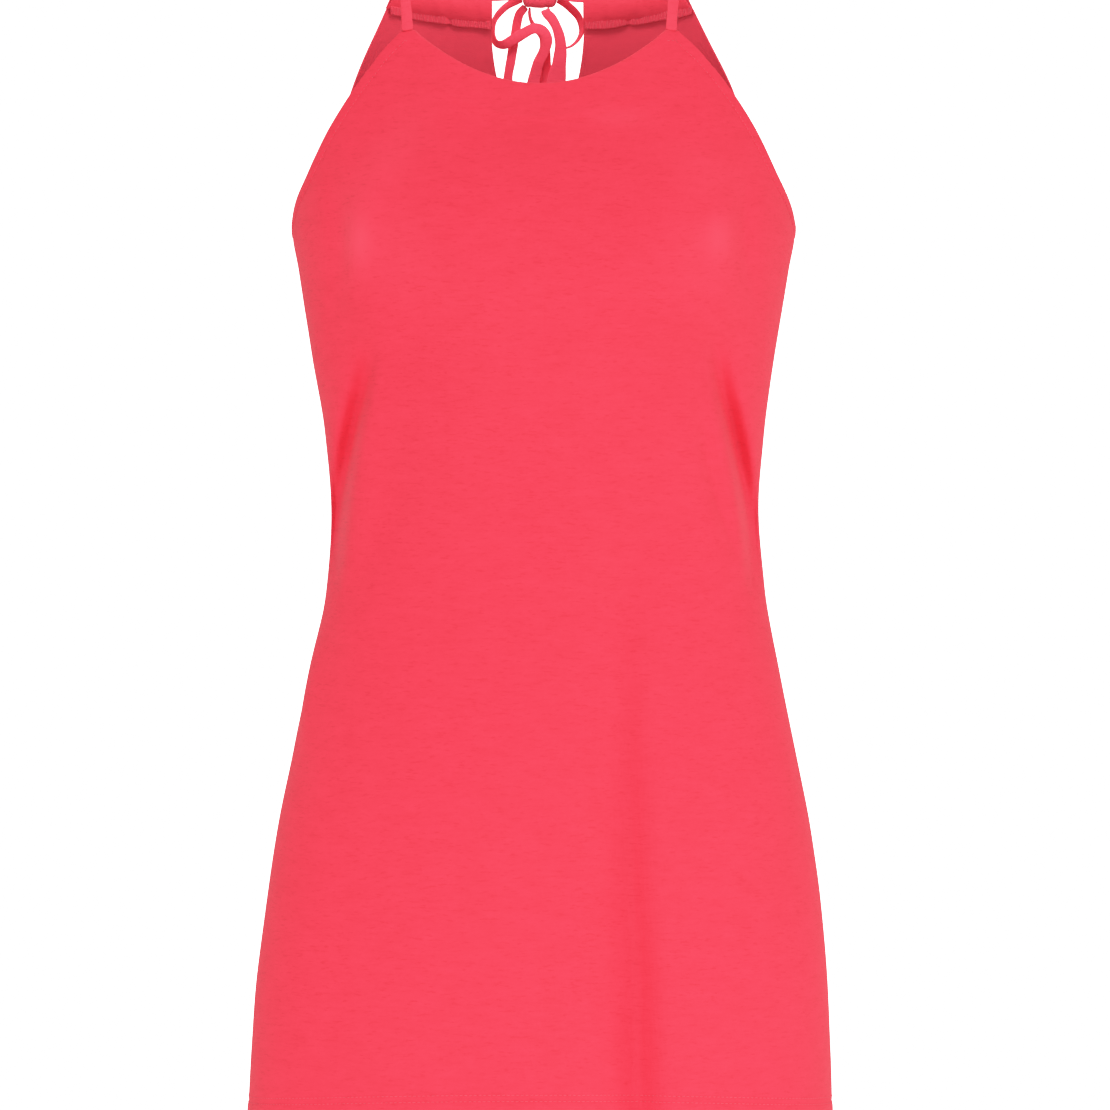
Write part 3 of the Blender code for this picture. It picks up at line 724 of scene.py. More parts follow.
Edge = namedtuple("Edge", "height halfWidth")
frontCut = {
    "strapFoot": -0.105,
    "footInside": 0.0830,
    "neckCentre": -0.0005,
    "neckBottom": -0.1414,
    "armSteps": 106,
    "neckSteps": 60,
    "armhole": metres(
        Edge,
        (-105, 91.2), (-118, 104.5), (-144, 125), (-169, 141), (-195, 154.2), (-220, 166), (-232, 168.5),
    ),
}
backCut = {
    "seamMiddle": -0.0915,
    "seamLift": 0.0107,
    "seamSpan": 0.106,
    "openingCentre": -0.0024,
    "openingHalf": 0.0315,
    "openingDrop": 0.0760,
    "armSteps": 60,
    "seamSteps": 18,
    "openingSteps": 64,
    "armhole": metres(
        Edge,
        (-60, 94.3), (-89, 107.6), (-129, 126.2), (-166, 139.5), (-206, 156), (-232, 168.5),
    ),
}


def armholeAt(cut, height):
    return smoothRead(height, cut["armhole"], "halfWidth")


def armholeEdge(cut, top):  # on the wearer's right, closer together at the underarm
    share = (np.arange(cut["armSteps"] + 1) / cut["armSteps"]) ** 1.25
    height = form["underarm"] + (top - form["underarm"]) * share
    return np.stack([sectionAt(height, "centre") - armholeAt(cut, height), height], axis=1)


def across(points):
    flipped = points[::-1].copy()
    flipped[:, 0] = 2 * sectionAt(flipped[:, 1], "centre") - flipped[:, 0]
    return flipped


def frontEdge():
    arm = armholeEdge(frontCut, frontCut["strapFoot"])
    share = np.linspace(-1, 1, frontCut["neckSteps"] + 1)
    rise = frontCut["strapFoot"] - frontCut["neckBottom"]
    neck = np.stack([
        frontCut["neckCentre"] + frontCut["footInside"] * share,
        frontCut["neckBottom"] + rise * share**2,
    ], axis=1)
    return {"arm": arm, "neck": neck, "farArm": across(arm)}


def seamHeight(x):
    return backCut["seamMiddle"] + backCut["seamLift"] * (x / backCut["seamSpan"]) ** 2


openingSides = [backCut["openingCentre"] + hand * backCut["openingHalf"] for hand in (-1, 1)]


def backCorner(level):  # where a level line across the back, such as its seam, meets the armhole
    x = 0.1
    for _ in range(30):
        x = float(armholeAt(backCut, level(x)))
    return x


def onSeam(start, end, share):
    x = start + (end - start) * share
    return np.stack([x, seamHeight(x)], axis=1)


def backEdge():
    arm = armholeEdge(backCut, seamHeight(backCorner(seamHeight)))
    left, right = openingSides
    share = np.arange(backCut["seamSteps"] + 1) / backCut["seamSteps"]
    angle = math.pi * np.arange(1, backCut["openingSteps"]) / backCut["openingSteps"]
    opening = np.stack([
        backCut["openingCentre"] - backCut["openingHalf"] * np.cos(angle),
        seamHeight(left) - backCut["openingDrop"] * np.sin(angle),
    ], axis=1)
    return {
        "arm": arm,
        "seam": onSeam(arm[-1, 0], left, share[1:]),
        "opening": opening,
        "farSeam": onSeam(right, across(arm)[0, 0], share[:-1]),
        "farArm": across(arm),
    }


# body panels

panelLook = {
    "wall": 0.0008,
    "turnedEdge": 0.0070,  # width of the turned and stitched armhole edge
    # how a turned edge and the hem step up, and dent at their stitches
    "turned": {"lift": 0.00040, "past": 0.0010, "ease": 0.0018, "dent": 0.00035, "groove": 0.0009},
    "hem": {"lift": 0.00045, "past": 0.0008, "ease": 0.0016, "dent": 0.00035, "groove": 0.0010},
    "facing": 0.0235,  # how far the neckline's facing reaches down
    "facingLift": 0.00030,
    "facingRidge": 0.00070,
    "openingEdge": 0.0032,  # width of the opening's narrow turned edge
    "turnedThickness": 0.0006,
    "facingThickness": 0.0007,
    "hemHeight": 0.0145,
}


def rowShares():  # close together at the hem and the top edge
    return np.concatenate([
        np.linspace(0, 0.035, 19)[:-1], np.linspace(0.035, 0.94, 116)[:-1], np.linspace(0.94, 1.0, 31),
    ])


def panelGrid(side, edge):
    turn = formTurn(edge[:, 0], edge[:, 1])
    turn[0], turn[-1] = 0.0, math.pi
    rise = form["hemRise"] * np.sin(turn) ** 2 if side == front else 0.0
    foot = form["hemSide"] + rise
    share = rowShares()[:, None]
    height = foot + (edge[:, 1] - foot) * share
    turns = np.broadcast_to(turn, height.shape)
    return formPoint(side, turns, height), turns, height, height - foot


def panelPlace(side, turns, height):
    return np.stack([roundCloth(side, turns, height), height, np.full(height.shape, 0.3 * side)], axis=-1)


def slightWaves(place):  # the unevenness of cloth that has been worn and hung
    u, v = place[..., 0], place[..., 1]
    soft = 0.00045 * np.sin(u / 0.021 + 1.3 * np.sin(v / 0.090)) * np.sin(v / 0.110 + 0.7)
    soft += 0.00035 * np.sin(u / 0.034 + v / 0.120 + 2.0)
    small = 0.00010 * np.sin(u / 0.0065 + 2.1 * np.sin(v / 0.030)) * np.sin(v / 0.021 + u / 0.040)
    return soft + small


def edgeLines(points, edge):
    # the lines of points along each named stretch of the top edge
    lines, start = {}, 0
    for name, stretch in edge.items():
        end = start + len(stretch)
        lines[name] = points[-1, max(start - 1, 0):min(end + 1, points.shape[1])]
        start = end
    return lines


def turnedRaise(distance, width, fold):
    step = fold["lift"] * softStep((width + fold["past"] - distance) / fold["ease"])
    return step - fold["dent"] * bell((distance - width) / fold["groove"])


# spots of painted light and shade in the cloth's colour: positive amounts make it paler as painted highlights, which
# at the bust also stand for stretched cloth; negative amounts make it deeper as painted shade; leaning spots grow
# towards +X as they rise
Stretch = namedtuple("Stretch", "x height across up amount lean", defaults=[0])
paintedLightSpots = metres(
    Stretch,
    (-119, -244, 5.4, 11, 0.85), (-102, -256, 21, 24, 0.22), (-103, -196, 13, 26, 0.28, 0.5),
    (116.5, -242, 5.6, 9, 0.75), (105, -257, 17, 20, 0.2), (108, -198, 15, 13, 0.24, -0.4),
    (52, -164, 13, 4.5, 0.34, 0.2), (-8, -178, 26, 11, -0.22), (-126, -300, 20, 17, -0.2),
    (85, -305, 34, 14, -0.24),
)


def paintedLightAt(points):
    total = np.zeros(points.shape[:2])
    for spot in paintedLightSpots:
        x, rise = points[..., 0] - spot.x, points[..., 2] - spot.height
        total += spot.amount * bell(np.hypot((x - spot.lean * rise) / spot.across, rise / spot.up))
    return total


def bodyPanel(name, node, side, edge, material):
    points, turns, height, aboveHem = panelGrid(side, np.concatenate(list(edge.values())))
    place = panelPlace(side, turns, height)
    lines = edgeLines(points, edge)
    normals = gridNormals(points, side)
    raised = slightWaves(place) * softStep(aboveHem / 0.05) - creaseDepth(side, place[..., :2])
    thickness = np.full(height.shape, panelLook["wall"])
    toArm = np.minimum(edgeDistance(points, lines["arm"]), edgeDistance(points, lines["farArm"]))
    turned = [(aboveHem, "hemHeight", "hem"), (toArm, "turnedEdge", "turned")]
    if side == back:
        turned.append((edgeDistance(points, lines["opening"]), "openingEdge", "turned"))
    for distance, width, fold in turned:
        raised += turnedRaise(distance, panelLook[width], panelLook[fold])
        thickness += panelLook["turnedThickness"] * softStep((panelLook[width] - distance) / 0.001)
    if side == front:
        toNeck, reach = edgeDistance(points, lines["neck"]), panelLook["facing"]
        middle = bell(points[..., 0] / 0.060)
        raised += panelLook["facingLift"] * softStep((reach + 0.0012 - toNeck) / 0.0024)
        raised += panelLook["facingRidge"] * (0.35 + 0.65 * middle) * bell((toNeck - reach) / 0.0013)
        inset = softStep((toNeck - 0.0002) / 0.001)
        thickness += panelLook["facingThickness"] * softStep((reach - toNeck) / 0.001) * inset
    points = points + normals * raised[..., None]
    points[..., 1] -= side * dragDepth(side, points, turns)
    normals = gridNormals(points, side)
    normals[:, [0, -1], 1] = 0.0  # cut square at the side seams
    made, faces, flat = shell(points, unit(normals), thickness, place)
    # painted highlights and painted shade, on the front's outer face only
    stretch = None
    if side == front:
        stretch = np.zeros(len(made))
        stretch[:height.size] = paintedLightAt(points).ravel()
    return addPiece(name, made, faces, material, flat, "jersey", node, stretch), points, lines


# narrow bands: straps, ties, and the bow's loops and tails

Stop = namedtuple("Stop", "x y z width turn", defaults=[0])  # turn 0 shows a band's flat side, 90 its edge
strapLook = {"thickness": 0.0024, "middleHeight": -0.075, "shift": -0.0009, "spacing": 0.0016}
strapRoute = metres(
    Stop,
    (87, -73.2, -104, 7), (88.6, -65.5, -84, 7), (91.2, -54.5, -56, 7), (93.6, -38, -26.5, 7),
    (94.9, -19.5, -7.5, 7), (95.2, 0, -1.2, 7), (94.6, 19, -9.5, 7), (93.2, 36.5, -31, 7), (90.8, 49.6, -59.8, 7),
)
tieThickness = 0.0018
rightTie = metres(
    Stop,
    (-33.4, 68.4, -71.2, 7), (-30, 69, -71.1, 7), (-22, 72.8, -70.6, 7), (-16.5, 75.2, -70.1, 7),
    (-13, 75.7, -70, 7),
)
leftTie = metres(
    Stop,
    (28.4, 68.6, -72.2, 7), (25.2, 69.3, -72.1, 7), (19, 73, -71.2, 7), (14.5, 75.2, -70.4, 7),
    (10.9, 75.7, -70.2, 7),
)
rightLoop = metres(
    Stop,
    (-13.8, 81.8, -72.3, 5.6, 10), (-16.5, 82.4, -73.3, 5.8, 16), (-24.7, 83.5, -78.1, 6.2, 40),
    (-31.5, 84, -86.3, 7, 62), (-33.2, 84, -95.2, 7, 66), (-30.8, 83.2, -102.2, 7, 55),
    (-25.8, 82.2, -103.5, 7, 35), (-19.9, 81.2, -100.6, 7.2, 10), (-12.5, 80.2, -96.2, 7.4),
    (-4.8, 79.2, -92.6, 7.4), (1, 79.2, -94.4, 7.4), (3.8, 80.2, -99.9, 7.4), (1.8, 82.2, -108.1, 7.4),
    (-2.2, 84.5, -116.3, 7.6), (-5, 87, -127.2, 8), (-8.5, 89, -138.5, 8), (-14.8, 90.5, -144.5, 7.6),
    (-21, 90.5, -138.5, 7), (-22.7, 89.5, -127.2, 6.6), (-20.6, 88, -113.6, 6.4), (-17.4, 86.2, -94, 6.4),
    (-15, 83.6, -83, 6), (-11, 81.4, -78.1, 5),
)
leftLoop = metres(
    Stop,
    (11.9, 81.8, -72.8, 5.6, 10), (14.2, 82.2, -74, 5.8, 15), (19.6, 83, -78.1, 5.8, 25),
    (25.7, 84, -84.9, 6.2, 45), (27.6, 84.8, -93.1, 6.6, 60), (25.1, 85.8, -99.9, 6.8, 74),
    (20, 86.8, -104.4, 6.8, 84), (14.8, 87.2, -105, 6.8, 88), (12.2, 87.2, -100, 6.6, 90),
    (10.4, 86.6, -92, 6.4, 90), (6.6, 85.2, -84.8, 6, 90), (5, 83.5, -81.5, 5, 90), (4.8, 82.8, -78.8, 4.4, 90),
)
rightTail = metres(
    Stop,
    (-7.8, 82.6, -78.9, 4.6, 80), (-7.9, 83.5, -82, 5.4, 80), (-6.6, 85.5, -87.2, 6, 74), (-3, 86.6, -93, 6.4, 60),
    (1.5, 87.2, -98.5, 6.6, 35), (2.6, 88, -108, 7.4, 10), (2.2, 89, -116, 9), (3.2, 90.5, -127.2, 12),
    (3.6, 92, -139, 13), (3.4, 93.5, -150, 13),
)
leftTail = metres(
    Stop,
    (2.8, 77.6, -80.3, 6.4), (3.6, 77.7, -82.2, 6.6), (7.2, 78.4, -86, 7), (11.2, 79.7, -93.8, 7),
    (13.2, 81.2, -103.3, 7.6), (12.6, 83.2, -113.6, 9.6), (10.4, 85.7, -127.2, 12.8), (8.8, 87.6, -139, 13),
    (8.4, 89.2, -153, 13),
)


def smoothRoute(stops, steps):
    places = [Vector(s[:3]) for s in stops]
    lengths = [0.0]
    for a, b in zip(places, places[1:]):
        lengths.append(lengths[-1] + (b - a).length)
    at = [lengths[-1] * k / steps for k in range(steps + 1)]
    return [Stop(*(cubicRead(t, lengths, column) for column in zip(*stops))) for t in at], lengths[-1]


def towardBack(stop):
    return Vector((0.0, 1.0, 0.0))


def awayFromShoulder(stop):
    return Vector((0.0, stop.y, stop.z - strapLook["middleHeight"]))


bandLook = {
    "corners": 20,
    "ridges": ((0.035, 0.0047), (0.020, 0.0021)),  # share of the width, and length along the band
    "ripple": (0.10, 0.0033),  # the same in its thickness
    "square": (0.72, 0.62),  # across and through; 1 is round
    "edgeCrease": (0.00022, 0.30, 0.0004),  # depth, place as a share of the width, and spread
    "endThickness": 0.80,
    "cap": (0.72, 0.28),  # size and rise of its closed end
}


def bandPiece(name, node, stops, thickness, facing, material, offset, spacing=0.0012):
    # a flat turned tube of cloth, soft at its edges and a little uneven along its length
    corners = bandLook["corners"]
    wideSquare, thickSquare = bandLook["square"]
    depth, place, spread = bandLook["edgeCrease"]
    (long, longStep), (short, shortStep) = bandLook["ridges"]
    ripple, rippleStep = bandLook["ripple"]
    steps = max(12, int(smoothRoute(stops, 4)[1] / spacing))
    route, length = smoothRoute(stops, steps)
    places = [Vector(s[:3]) for s in route]
    tangents = [heading(places, k).normalized() for k in range(steps + 1)]
    points, flat = [], []
    for k, (stop, tangent) in enumerate(zip(route, tangents)):
        face = (facing(stop) - tangent * facing(stop).dot(tangent)).normalized()
        sideways = tangent.cross(face)
        turn = math.radians(stop.turn)
        up = face * math.cos(turn) + sideways * math.sin(turn)
        edge = sideways * math.cos(turn) - face * math.sin(turn)
        along = length * k / steps
        closing = bandLook["endThickness"] if k < 2 or k > steps - 2 else 1.0
        wobble = 1 + long * math.sin(along / longStep + offset) + short * math.sin(along / shortStep + 2 * offset)
        for corner in range(corners):
            angle = 2 * math.pi * (corner + 0.5) / corners
            wide = float(signedPower(math.cos(angle), wideSquare)) * stop.width / 2 * wobble
            thick = float(signedPower(math.sin(angle), thickSquare)) * thickness / 2 * closing
            thick *= 1 + ripple * math.sin(along / rippleStep + 3 * wide / stop.width + offset)
            crease = depth * bell((wide - stop.width * place) / spread)
            thick -= math.copysign(crease, thick)
            points.append(places[k] + edge * wide + up * thick)
            flat.append((wide, along + offset, 0.1 * offset))
    faces = tubeFaces(steps, corners)
    # rounded ends
    size, rise = bandLook["cap"]
    for k, way in ((0, -1), (steps, 1)):
        ring = [k * corners + m for m in range(corners)]
        middle = sum((points[i] for i in ring), Vector()) / corners
        small = [len(points) + m for m in range(corners)]
        for i in ring:
            points.append(middle + (points[i] - middle) * size + tangents[k] * way * thickness * rise)
            flat.append(flat[i])
        for m in range(corners):
            n = (m + 1) % corners
            faces.append([ring[m], ring[n], small[n], small[m]][::way])
        faces.append(small[::way])
    piece = addPiece(name, points, faces, material, flat, "folded_jersey", node)
    return piece, [tuple(p) for p in places], length


def bowTails(material):
    for name, node, stops, offset in (
        ("bowTailRight", "bow_tail_right", rightTail, 1.0),
        ("bowTailLeft", "bow_tail_left", leftTail, 2.3),
    ):
        piece, path, length = bandPiece(name, node, stops, tieThickness, towardBack, material, offset)
        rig.cord(
            piece, exit=path[0], length=round(length, 4), diameter=0.010, far_end="bare",
            stiffness="limp", lay="hanging", path=path,
        )


def bowBands(material):
    for name, node, stops, offset in (
        ("tieRight", "tie_right", rightTie, 0.4),
        ("tieLeft", "tie_left", leftTie, 1.7),
        ("bowLoopRight", "bow_loop_right", rightLoop, 2.9),
        ("bowLoopLeft", "bow_loop_left", leftLoop, 4.1),
    ):
        bandPiece(name, node, stops, tieThickness, towardBack, material, offset)


def shoulderStraps(material):
    thickness, spacing = strapLook["thickness"], strapLook["spacing"]
    for name, node, hand in (("strapRight", "strap_right", -1), ("strapLeft", "strap_left", 1)):
        stops = [s._replace(x=hand * s.x + strapLook["shift"]) for s in strapRoute]
        bandPiece(name, node, stops, thickness, awayFromShoulder, material, hand + 1.5, spacing)


# the bow's knot: one tie wrapped round the other

knot = {
    "centre": (-0.0010, 0.0800, -0.0705),
    "half": (0.0120, 0.0062, 0.0085),
    "square": 0.66,
    "rows": 48,
    "columns": 72,
    "grooves": ((0.050, 0.28, 0.07), (0.060, -0.42, 0.08)),  # depth, place and spread, as shares of its half width
    "ripple": 0.025,
}


def bowKnot(material):
    points, flat = [], []
    for i in range(knot["rows"] + 1):
        down = math.pi * i / knot["rows"]
        for j in range(knot["columns"]):
            turn = 2 * math.pi * j / knot["columns"]
            shape = [math.sin(down) * math.cos(turn), math.sin(down) * math.sin(turn), math.cos(down)]
            shape = [float(signedPower(value, knot["square"])) for value in shape]
            waist = 1 - 0.06 * math.cos(3 * shape[0])
            # soft folds of the wrapped tie run up and down and fan out
            fan = shape[0] * (1 + 0.25 * shape[2])
            groove = sum(depth * bell((fan - place) / spread) for depth, place, spread in knot["grooves"])
            groove += knot["ripple"] * math.sin(9 * fan + 2 * shape[2])
            squeeze = (0.985, waist * (1 - groove), waist * (1 - groove))
            points.append([c + h * p * q for c, h, p, q in zip(knot["centre"], knot["half"], shape, squeeze)])
            flat.append((0.012 * shape[0], 0.02 * turn, 0.9))
    faces = [[a, d, c, b] for a, b, c, d in tubeFaces(knot["rows"], knot["columns"])]
    addPiece("bowKnot", points, faces, material, flat, "folded_jersey", "bow_knot")


# neckband: a folded band, puffed between its seam and its fold

band = {
    "middle": -0.0680,
    "lift": 0.0080,
    "span": 0.094,
    "edge": 0.0020,
    "puff": 0.0042,
    "wall": 0.0007,
    "columns": 72,
    "rows": 22,
    "bendRows": 7,
}


def bandHeight(x):
    return band["middle"] + band["lift"] * (x / band["span"]) ** 2


def neckband(name, node, hand, material):
    inner = openingSides[hand > 0]
    middle = float(sectionAt(band["middle"], "centre"))
    seamEnd = middle + hand * backCorner(seamHeight)
    foldEnd = middle + hand * backCorner(bandHeight)
    share = np.linspace(0, 1, band["columns"])[None, :]
    up = np.linspace(0, 1, band["rows"])[:, None]
    x = inner + ((seamEnd * (1 - up) + foldEnd * up) - inner) * share
    low, high = seamHeight(x) + form["seamGap"], bandHeight(x)
    height = low + (high - low) * up
    outer = surfacePoint(back, x, height)
    normals = gridNormals(outer, back)
    along = 0.35 + 0.65 * np.sin(math.pi * (0.06 + 0.88 * share)) ** 0.5
    thick = band["edge"] + band["puff"] * along * np.sin(math.pi * up) ** 0.7
    # small gathers run up from the seam on the puffed side
    gathers = 0.10 * np.sin(x / 0.0031 + 1.2 * np.sin(x / 0.011)) + 0.06 * np.sin(x / 0.0017)
    thick = thick + band["puff"] * gathers * np.sin(math.pi * up) * (1 - 0.6 * up)
    inside = outer - normals * thick[..., None]
    # over the fold in a half circle
    bend = []
    centre = (outer[-1] + inside[-1]) / 2
    radius = np.linalg.norm(outer[-1] - inside[-1], axis=1, keepdims=True) / 2
    rise = unit(outer[-1] - outer[-2])
    for angle in np.linspace(0, math.pi, band["bendRows"] + 2)[1:-1]:
        bend.append(centre + normals[-1] * radius * math.cos(angle) + rise * radius * 0.8 * math.sin(angle))
    grid = np.concatenate([outer, np.array(bend), inside[::-1]])
    skin = np.concatenate([normals, unit(np.array(bend) - centre), -normals[::-1]])
    place = np.zeros((*grid.shape[:2], 3))
    place[..., 0], place[..., 2] = grid[..., 0], 0.5 * hand
    place[1:, :, 1] = np.cumsum(np.linalg.norm(np.diff(grid, axis=0), axis=2), axis=0)
    points, faces, flat = shell(grid, skin, band["wall"], place)
    piece = addPiece(name, points, faces, material, flat, "folded_jersey", node)
    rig.sheet(piece, flat=(0.074, 0.056), held="folded", rests_on=["backPanel"])


# sewing

sewing = {
    "thread": 0.00024,  # the thread's radius
    "stitch": 0.0025,
    "fineThread": 0.00018,  # the same two round the back's opening
    "fineStitch": 0.0020,
    "gap": 0.0006,
    "hemRows": 0.0042,
    "corners": 6,
    "endSize": 0.55,
    "lifts": (-0.6, 0.5, 0.7, 0.5, -0.6),  # how far a stitch stands off the cloth, in radii
    "reach": 0.03,  # how far off the cloth may be when a stitch looks for it
}


class Threads:  # many short stitches gathered into one mesh
    def __init__(self):
        self.points, self.faces, self.flat = [], [], []

    def stitch(self, line, radius):  # a bent little tube with closed ends
        corners, start, last = sewing["corners"], len(self.points), len(line) - 1
        line = [Vector(p) for p in line]
        for k, spot in enumerate(line):
            tangent = heading(line, k).normalized()
            side = tangent.orthogonal().normalized()
            rise = tangent.cross(side)
            width = radius * (sewing["endSize"] if k in (0, last) else 1.0)
            for m in range(corners):
                angle = 2 * math.pi * m / corners
                self.points.append(spot + side * width * math.cos(angle) + rise * width * math.sin(angle))
                self.flat.append((0.001 * m / corners, spot.x + spot.z + 0.0007 * k, 0.7))
        self.faces += tubeFaces(last, corners, start)
        self.faces.append([start + m for m in range(corners)][::-1])
        self.faces.append([start + last * corners + m for m in range(corners)])

    def piece(self, name, material):
        addPiece(name, self.points, self.faces, material, self.flat, "jersey")


def gridTree(points):
    faces = gridFaces(*points.shape[:2])[1].tolist()
    return BVHTree.FromPolygons([Vector(p) for p in points.reshape(-1, 3)], faces)


def evenly(line, spacing):  # the same line with its points a set distance apart
    along = lengthsAlong(line)
    at = np.arange(0, along[-1], spacing)
    return np.stack([np.interp(at, along, line[:, k]) for k in range(3)], axis=1)


def onCloth(tree, point, outward, lift):
    spot, normal, _, _ = tree.find_nearest(Vector(point), sewing["reach"])
    return spot + (normal if normal.y * outward > 0 else -normal) * lift


def insetLine(line, tree, distance):  # a line on the cloth beside its edge
    line, out = evenly(line, 0.001), []
    for k, point in enumerate(line):
        tangent = unit(heading(line, k, 2))
        normal = tree.find_nearest(Vector(point), sewing["reach"])[1]
        inward = unit(np.cross(tangent, np.array(normal)))
        out.append(point - inward * distance * (1 if inward[2] > 0 else -1))
    return np.array(out)


def stitchLine(threads, line, tree, side, radius=sewing["thread"], stitch=sewing["stitch"]):
    lifts = sewing["lifts"]
    each = len(lifts) + 1
    spots = evenly(line, (stitch + sewing["gap"]) / each)
    for start in range(0, len(spots) - each, each):
        threads.stitch([onCloth(tree, p, side, radius * a) for p, a in zip(spots[start:], lifts)], radius)


def hemLine(points, above):
    # level line at a height over the hem, read from the grid's columns
    columns = [(column, lengthsAlong(column)) for column in points.swapaxes(0, 1)]
    return np.array([[np.interp(above, rise, column[:, k]) for k in range(3)] for column, rise in columns])


def sewStitches(panels, material):
    trees = {side: gridTree(grid) for side, (grid, _) in panels.items()}
    edges, hem = Threads(), Threads()
    for side, (grid, lines) in panels.items():
        for name in ("arm", "farArm"):
            line = insetLine(lines[name], trees[side], panelLook["turnedEdge"])
            stitchLine(edges, line, trees[side], side)
        for above in (panelLook["hemHeight"], panelLook["hemHeight"] + sewing["hemRows"]):
            stitchLine(hem, hemLine(grid, above), trees[side], side)
    line = insetLine(panels[back][1]["opening"], trees[back], panelLook["openingEdge"] * 0.8)
    stitchLine(edges, line, trees[back], back, sewing["fineThread"], sewing["fineStitch"])
    edges.piece("armholeStitching", material)
    hem.piece("hemStitching", material)


overlock = {
    "height": 0.0054,
    "thickness": 0.0011,
    "offSeam": 0.0014,
    "spacing": 0.0015,
    "thread": 0.00020,
    "lean": 1.3,
    "nips": (-0.0628, 0.0594),  # where the allowance is pulled in and its stitches part
    "nipWidth": 0.0020,
    "nipDepth": 0.0009,
    "columns": 90,
    "rows": 9,
}


def seamOverlock(cloth, threadMaterial):
    # the allowance of the seam under the neckband, oversewn, on the inside
    threads = Threads()
    columns, rows, thick = overlock["columns"], overlock["rows"], overlock["thickness"]
    corner = backCorner(seamHeight)
    up = np.linspace(-0.5, 0.5, rows)[:, None]
    for name, start, end in zip(("seamAllowanceRight", "seamAllowanceLeft"), openingSides, (-corner, corner)):
        x = start + (end - start) * np.linspace(0.015, 0.985, columns)
        nip = sum(np.exp(-(((x - at) / overlock["nipWidth"]) ** 2)) for at in overlock["nips"])
        height = seamHeight(x) + overlock["height"] * up * (1 - 0.3 * nip) + 0.00025 * np.sin(x / 0.0040)
        outer = surfacePoint(back, np.broadcast_to(x, height.shape), height)
        normals = gridNormals(outer, back)
        off = panelLook["wall"] + overlock["offSeam"] + 0.0003 * np.sin(x / 0.0060) - overlock["nipDepth"] * nip
        grid = outer - normals * (off[None, :, None] + thick)
        place = np.stack([grid[..., 0], grid[..., 2], np.full(height.shape, 1.3)], axis=-1)
        points, faces, flat = shell(grid, -normals, thick, place)
        addPiece(name, points, faces, cloth, flat, "jersey")
        count = int(abs(end - start) / overlock["spacing"])
        for k in range(count):
            at = (k + 0.5 + 0.28 * np.sin(k * 2.3) + 0.16 * np.sin(k * 5.1)) / count * (columns - 1)
            if nip[int(at)] > 0.45:
                continue
            lean = (1 if k % 2 else -1) * overlock["lean"] * (1 + 0.35 * np.sin(k * 1.7))
            line = []
            for i in range(-1, rows + 1):
                j = min(max(at + lean * (i / rows - 0.5), 0), columns - 1.001)
                a, row = int(j), min(max(i, 0), rows - 1)
                spot = grid[row, a] * (1 - j + a) + grid[row, a + 1] * (j - a)
                lift = -0.3 * overlock["thread"]
                if i in (-1, rows):  # turns over the edge
                    spot = spot + (grid[row, a] - grid[rows // 2, a]) * 0.06
                    lift = 0.4 * thick
                line.append(spot + normals[row, a] * lift)
            threads.stitch(line, overlock["thread"])
    threads.piece("overlockThread", threadMaterial)


# floor and light

stage = {"height": -1.38, "radius": 2.6, "fade": (0.55, 0.98), "white": (0.93, 0.93, 0.93, 1.0)}


def makeFloor():
    finish = Finish("paleFloor")
    finish.feed("Base Color", stage["white"])
    finish.feed("Roughness", 0.9)
    place = finish.node("ShaderNodeNewGeometry", {}, [], "Position")
    away = finish.node("ShaderNodeVectorMath", {"operation": "LENGTH"}, [place], "Value")
    shown = finish.ramp(away * (1 / stage["radius"]), (stage["fade"][0], 1.0), (stage["fade"][1], 0.0))
    below = finish.node("ShaderNodeNewGeometry", {}, [], "Backfacing")
    finish.feed("Alpha", shown * (1 - below))  # it can't be seen from below
    turns = np.linspace(0, 2 * math.pi, 97)[:-1]
    ring = [(stage["radius"] * math.cos(a), stage["radius"] * math.sin(a), stage["height"]) for a in turns]
    mesh = bpy.data.meshes.new("floor")
    mesh.from_pydata(ring, [], [list(range(len(ring)))])
    mesh.materials.append(finish.made)
    floor = bpy.data.objects.new("floor", mesh)
    bpy.context.scene.collection.objects.link(floor)
    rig.stage(floor)


def softLight(name, place, aim, width, height, power):
    lamp = bpy.data.lights.new(name, "AREA")
    lamp.shape = "RECTANGLE"
    lamp.size, lamp.size_y, lamp.energy = width, height, power
    light = bpy.data.objects.new(name, lamp)
    light.location = place
    light.rotation_euler = (Vector(aim) - Vector(place)).to_track_quat("-Z", "Y").to_euler()
    light.visible_camera = False
    bpy.context.scene.collection.objects.link(light)


lights = {
    "seenWhite": 2.2,  # what the camera sees behind the top
    "around": 0.70,  # what falls on the top from all round
    "lamps": [  # name, place, aim, width, height, power
        ("frontRightLight", (-1.6, -3.3, -0.60), (0.0, 0.0, -0.60), 1.0, 1.4, 6.3),
        ("frontLeftLight", (1.6, -3.3, -0.60), (0.0, 0.0, -0.60), 1.0, 1.4, 5),
        ("rightLight", (-2.0, -0.6, -0.80), (0.0, 0.0, -0.55), 0.8, 1.0, 7.5),
        ("leftLight", (2.0, -0.6, -0.90), (0.0, 0.0, -0.66), 0.8, 1.0, 16.5),
        ("lowLight", (0.0, -1.42, -1.02), (0.0, -0.22, -0.22), 2.0, 0.8, 16.3),
        ("topLight", (0.0, -0.9, 1.40), (0.0, 0.05, -0.10), 1.4, 0.8, 11.3),
        ("neckLight", (0.0, -0.05, 0.04), (0.0, 0.08, -0.09), 0.16, 0.05, 0.22),
        ("backLight", (0.0, 2.6, -0.50), (0.0, 0.0, -0.55), 0.9, 1.2, 35),
    ],
    # the soft shoulder of a camera: light, and how bright it shows
    "shoulder": [(0.75, 0.75), (0.875, 0.848), (1.0, 0.908), (1.125, 0.944), (1.25, 0.966), (1.5, 0.9875), (2.0, 1.0)],
}


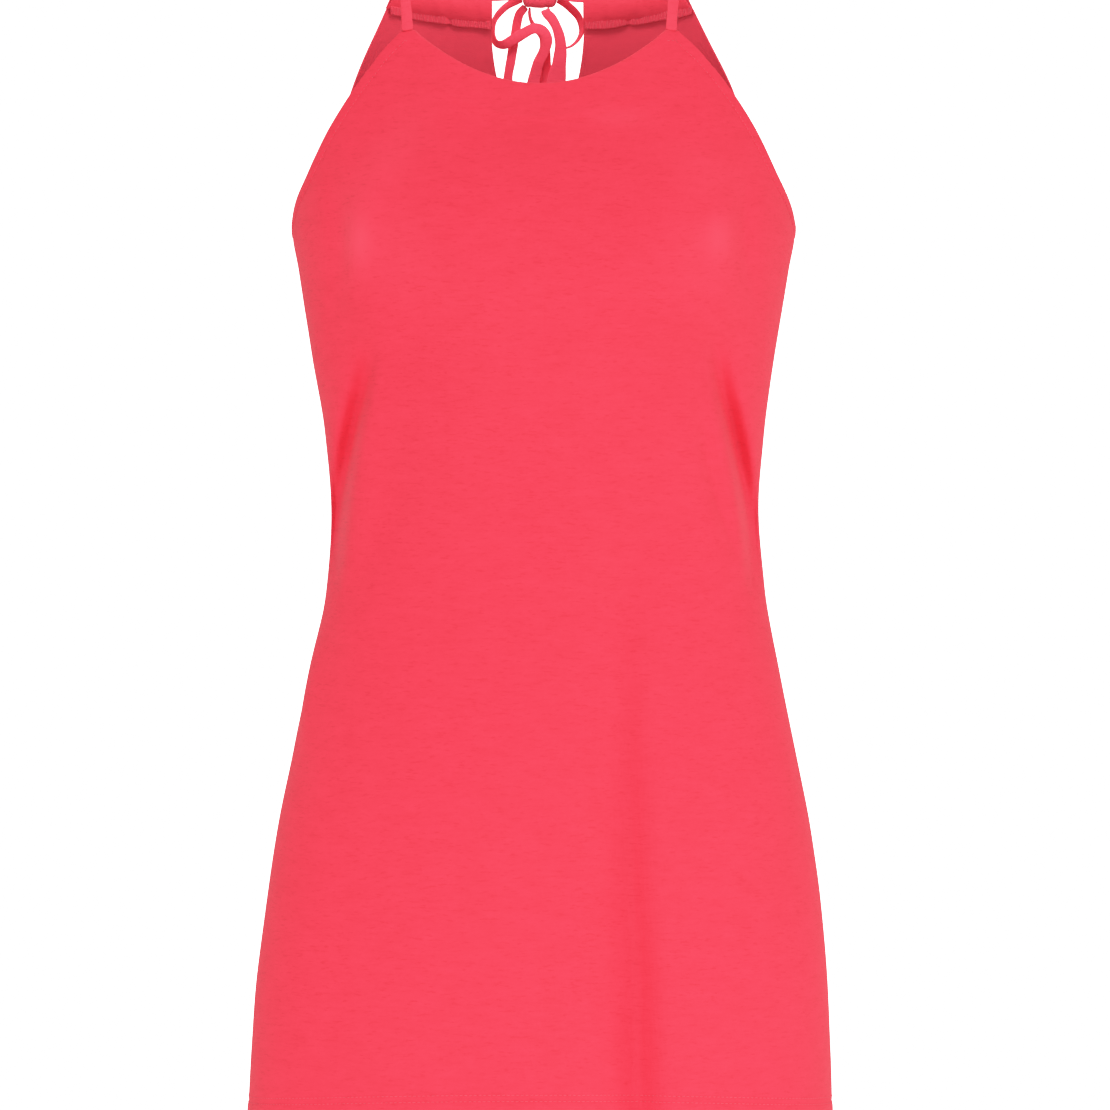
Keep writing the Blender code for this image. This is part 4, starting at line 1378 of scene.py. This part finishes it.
def softShoulder(settings):
    settings.view_transform = "Standard"
    settings.look = "None"
    settings.use_curve_mapping = True
    mapping = settings.curve_mapping
    most = lights["shoulder"][-1][0]
    mapping.white_level = (most, most, most)
    curve = mapping.curves[3]
    curve.points[0].handle_type = "VECTOR"
    curve.points[1].location = (1.0, lights["shoulder"][-1][1])
    for light, shown in lights["shoulder"][:-1]:
        curve.points.new(light / most, shown)
    curve.points[1].handle_type = "VECTOR"
    mapping.update()


def makeLight():
    sky = Finish("studio", bpy.data.worlds, "Background")
    sky.feed("Color", (1.0, 1.0, 1.0, 1.0))
    seen = sky.node("ShaderNodeLightPath", {}, [], "Is Camera Ray")
    strength = {"Value": seen, "To Min": lights["around"], "To Max": lights["seenWhite"]}
    sky.feed("Strength", sky.node("ShaderNodeMapRange", {}, strength, "Result"))
    bpy.context.scene.world = sky.made
    for lamp in lights["lamps"]:
        softLight(*lamp)
    softShoulder(bpy.context.scene.view_settings)


# putting it together

placeCamera()
ties = jerseyFinish("tieJersey", tiedPaintedLightLook)
bowTails(ties)
print("camera and the bow's free tails made")
jersey = jerseyFinish("jersey", jerseyLook)
ribbon = jerseyFinish("foldedJersey", foldedLook)
thread = threadFinish()
frontPiece, *frontCloth = bodyPanel("frontPanel", "front", front, frontEdge(), jersey)
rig.sheet(frontPiece, flat=(0.512, 0.735), area=0.302, held="hung", rests_on=["strapRight", "strapLeft"])
backPiece, *backCloth = bodyPanel("backPanel", "back", back, backEdge(), jersey)
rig.sheet(backPiece, flat=(0.512, 0.755), area=0.298, held="hung", rests_on=["neckbandRight", "neckbandLeft"])
print("front and back made")
neckband("neckbandRight", "neckband_right", -1, ribbon)
neckband("neckbandLeft", "neckband_left", 1, ribbon)
shoulderStraps(ribbon)
bowBands(ties)
bowKnot(ties)
print("neckband, straps and bow made")
sewStitches({front: frontCloth, back: backCloth}, thread)
seamOverlock(jersey, thread)
print("sewing made")
makeFloor()
makeLight()
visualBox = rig.bounds()
with open("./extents.json", "w") as sizes:
    json.dump({"cad": [list(p) for p in cadBox], "visual": [list(p) for p in visualBox]}, sizes)
print("done")
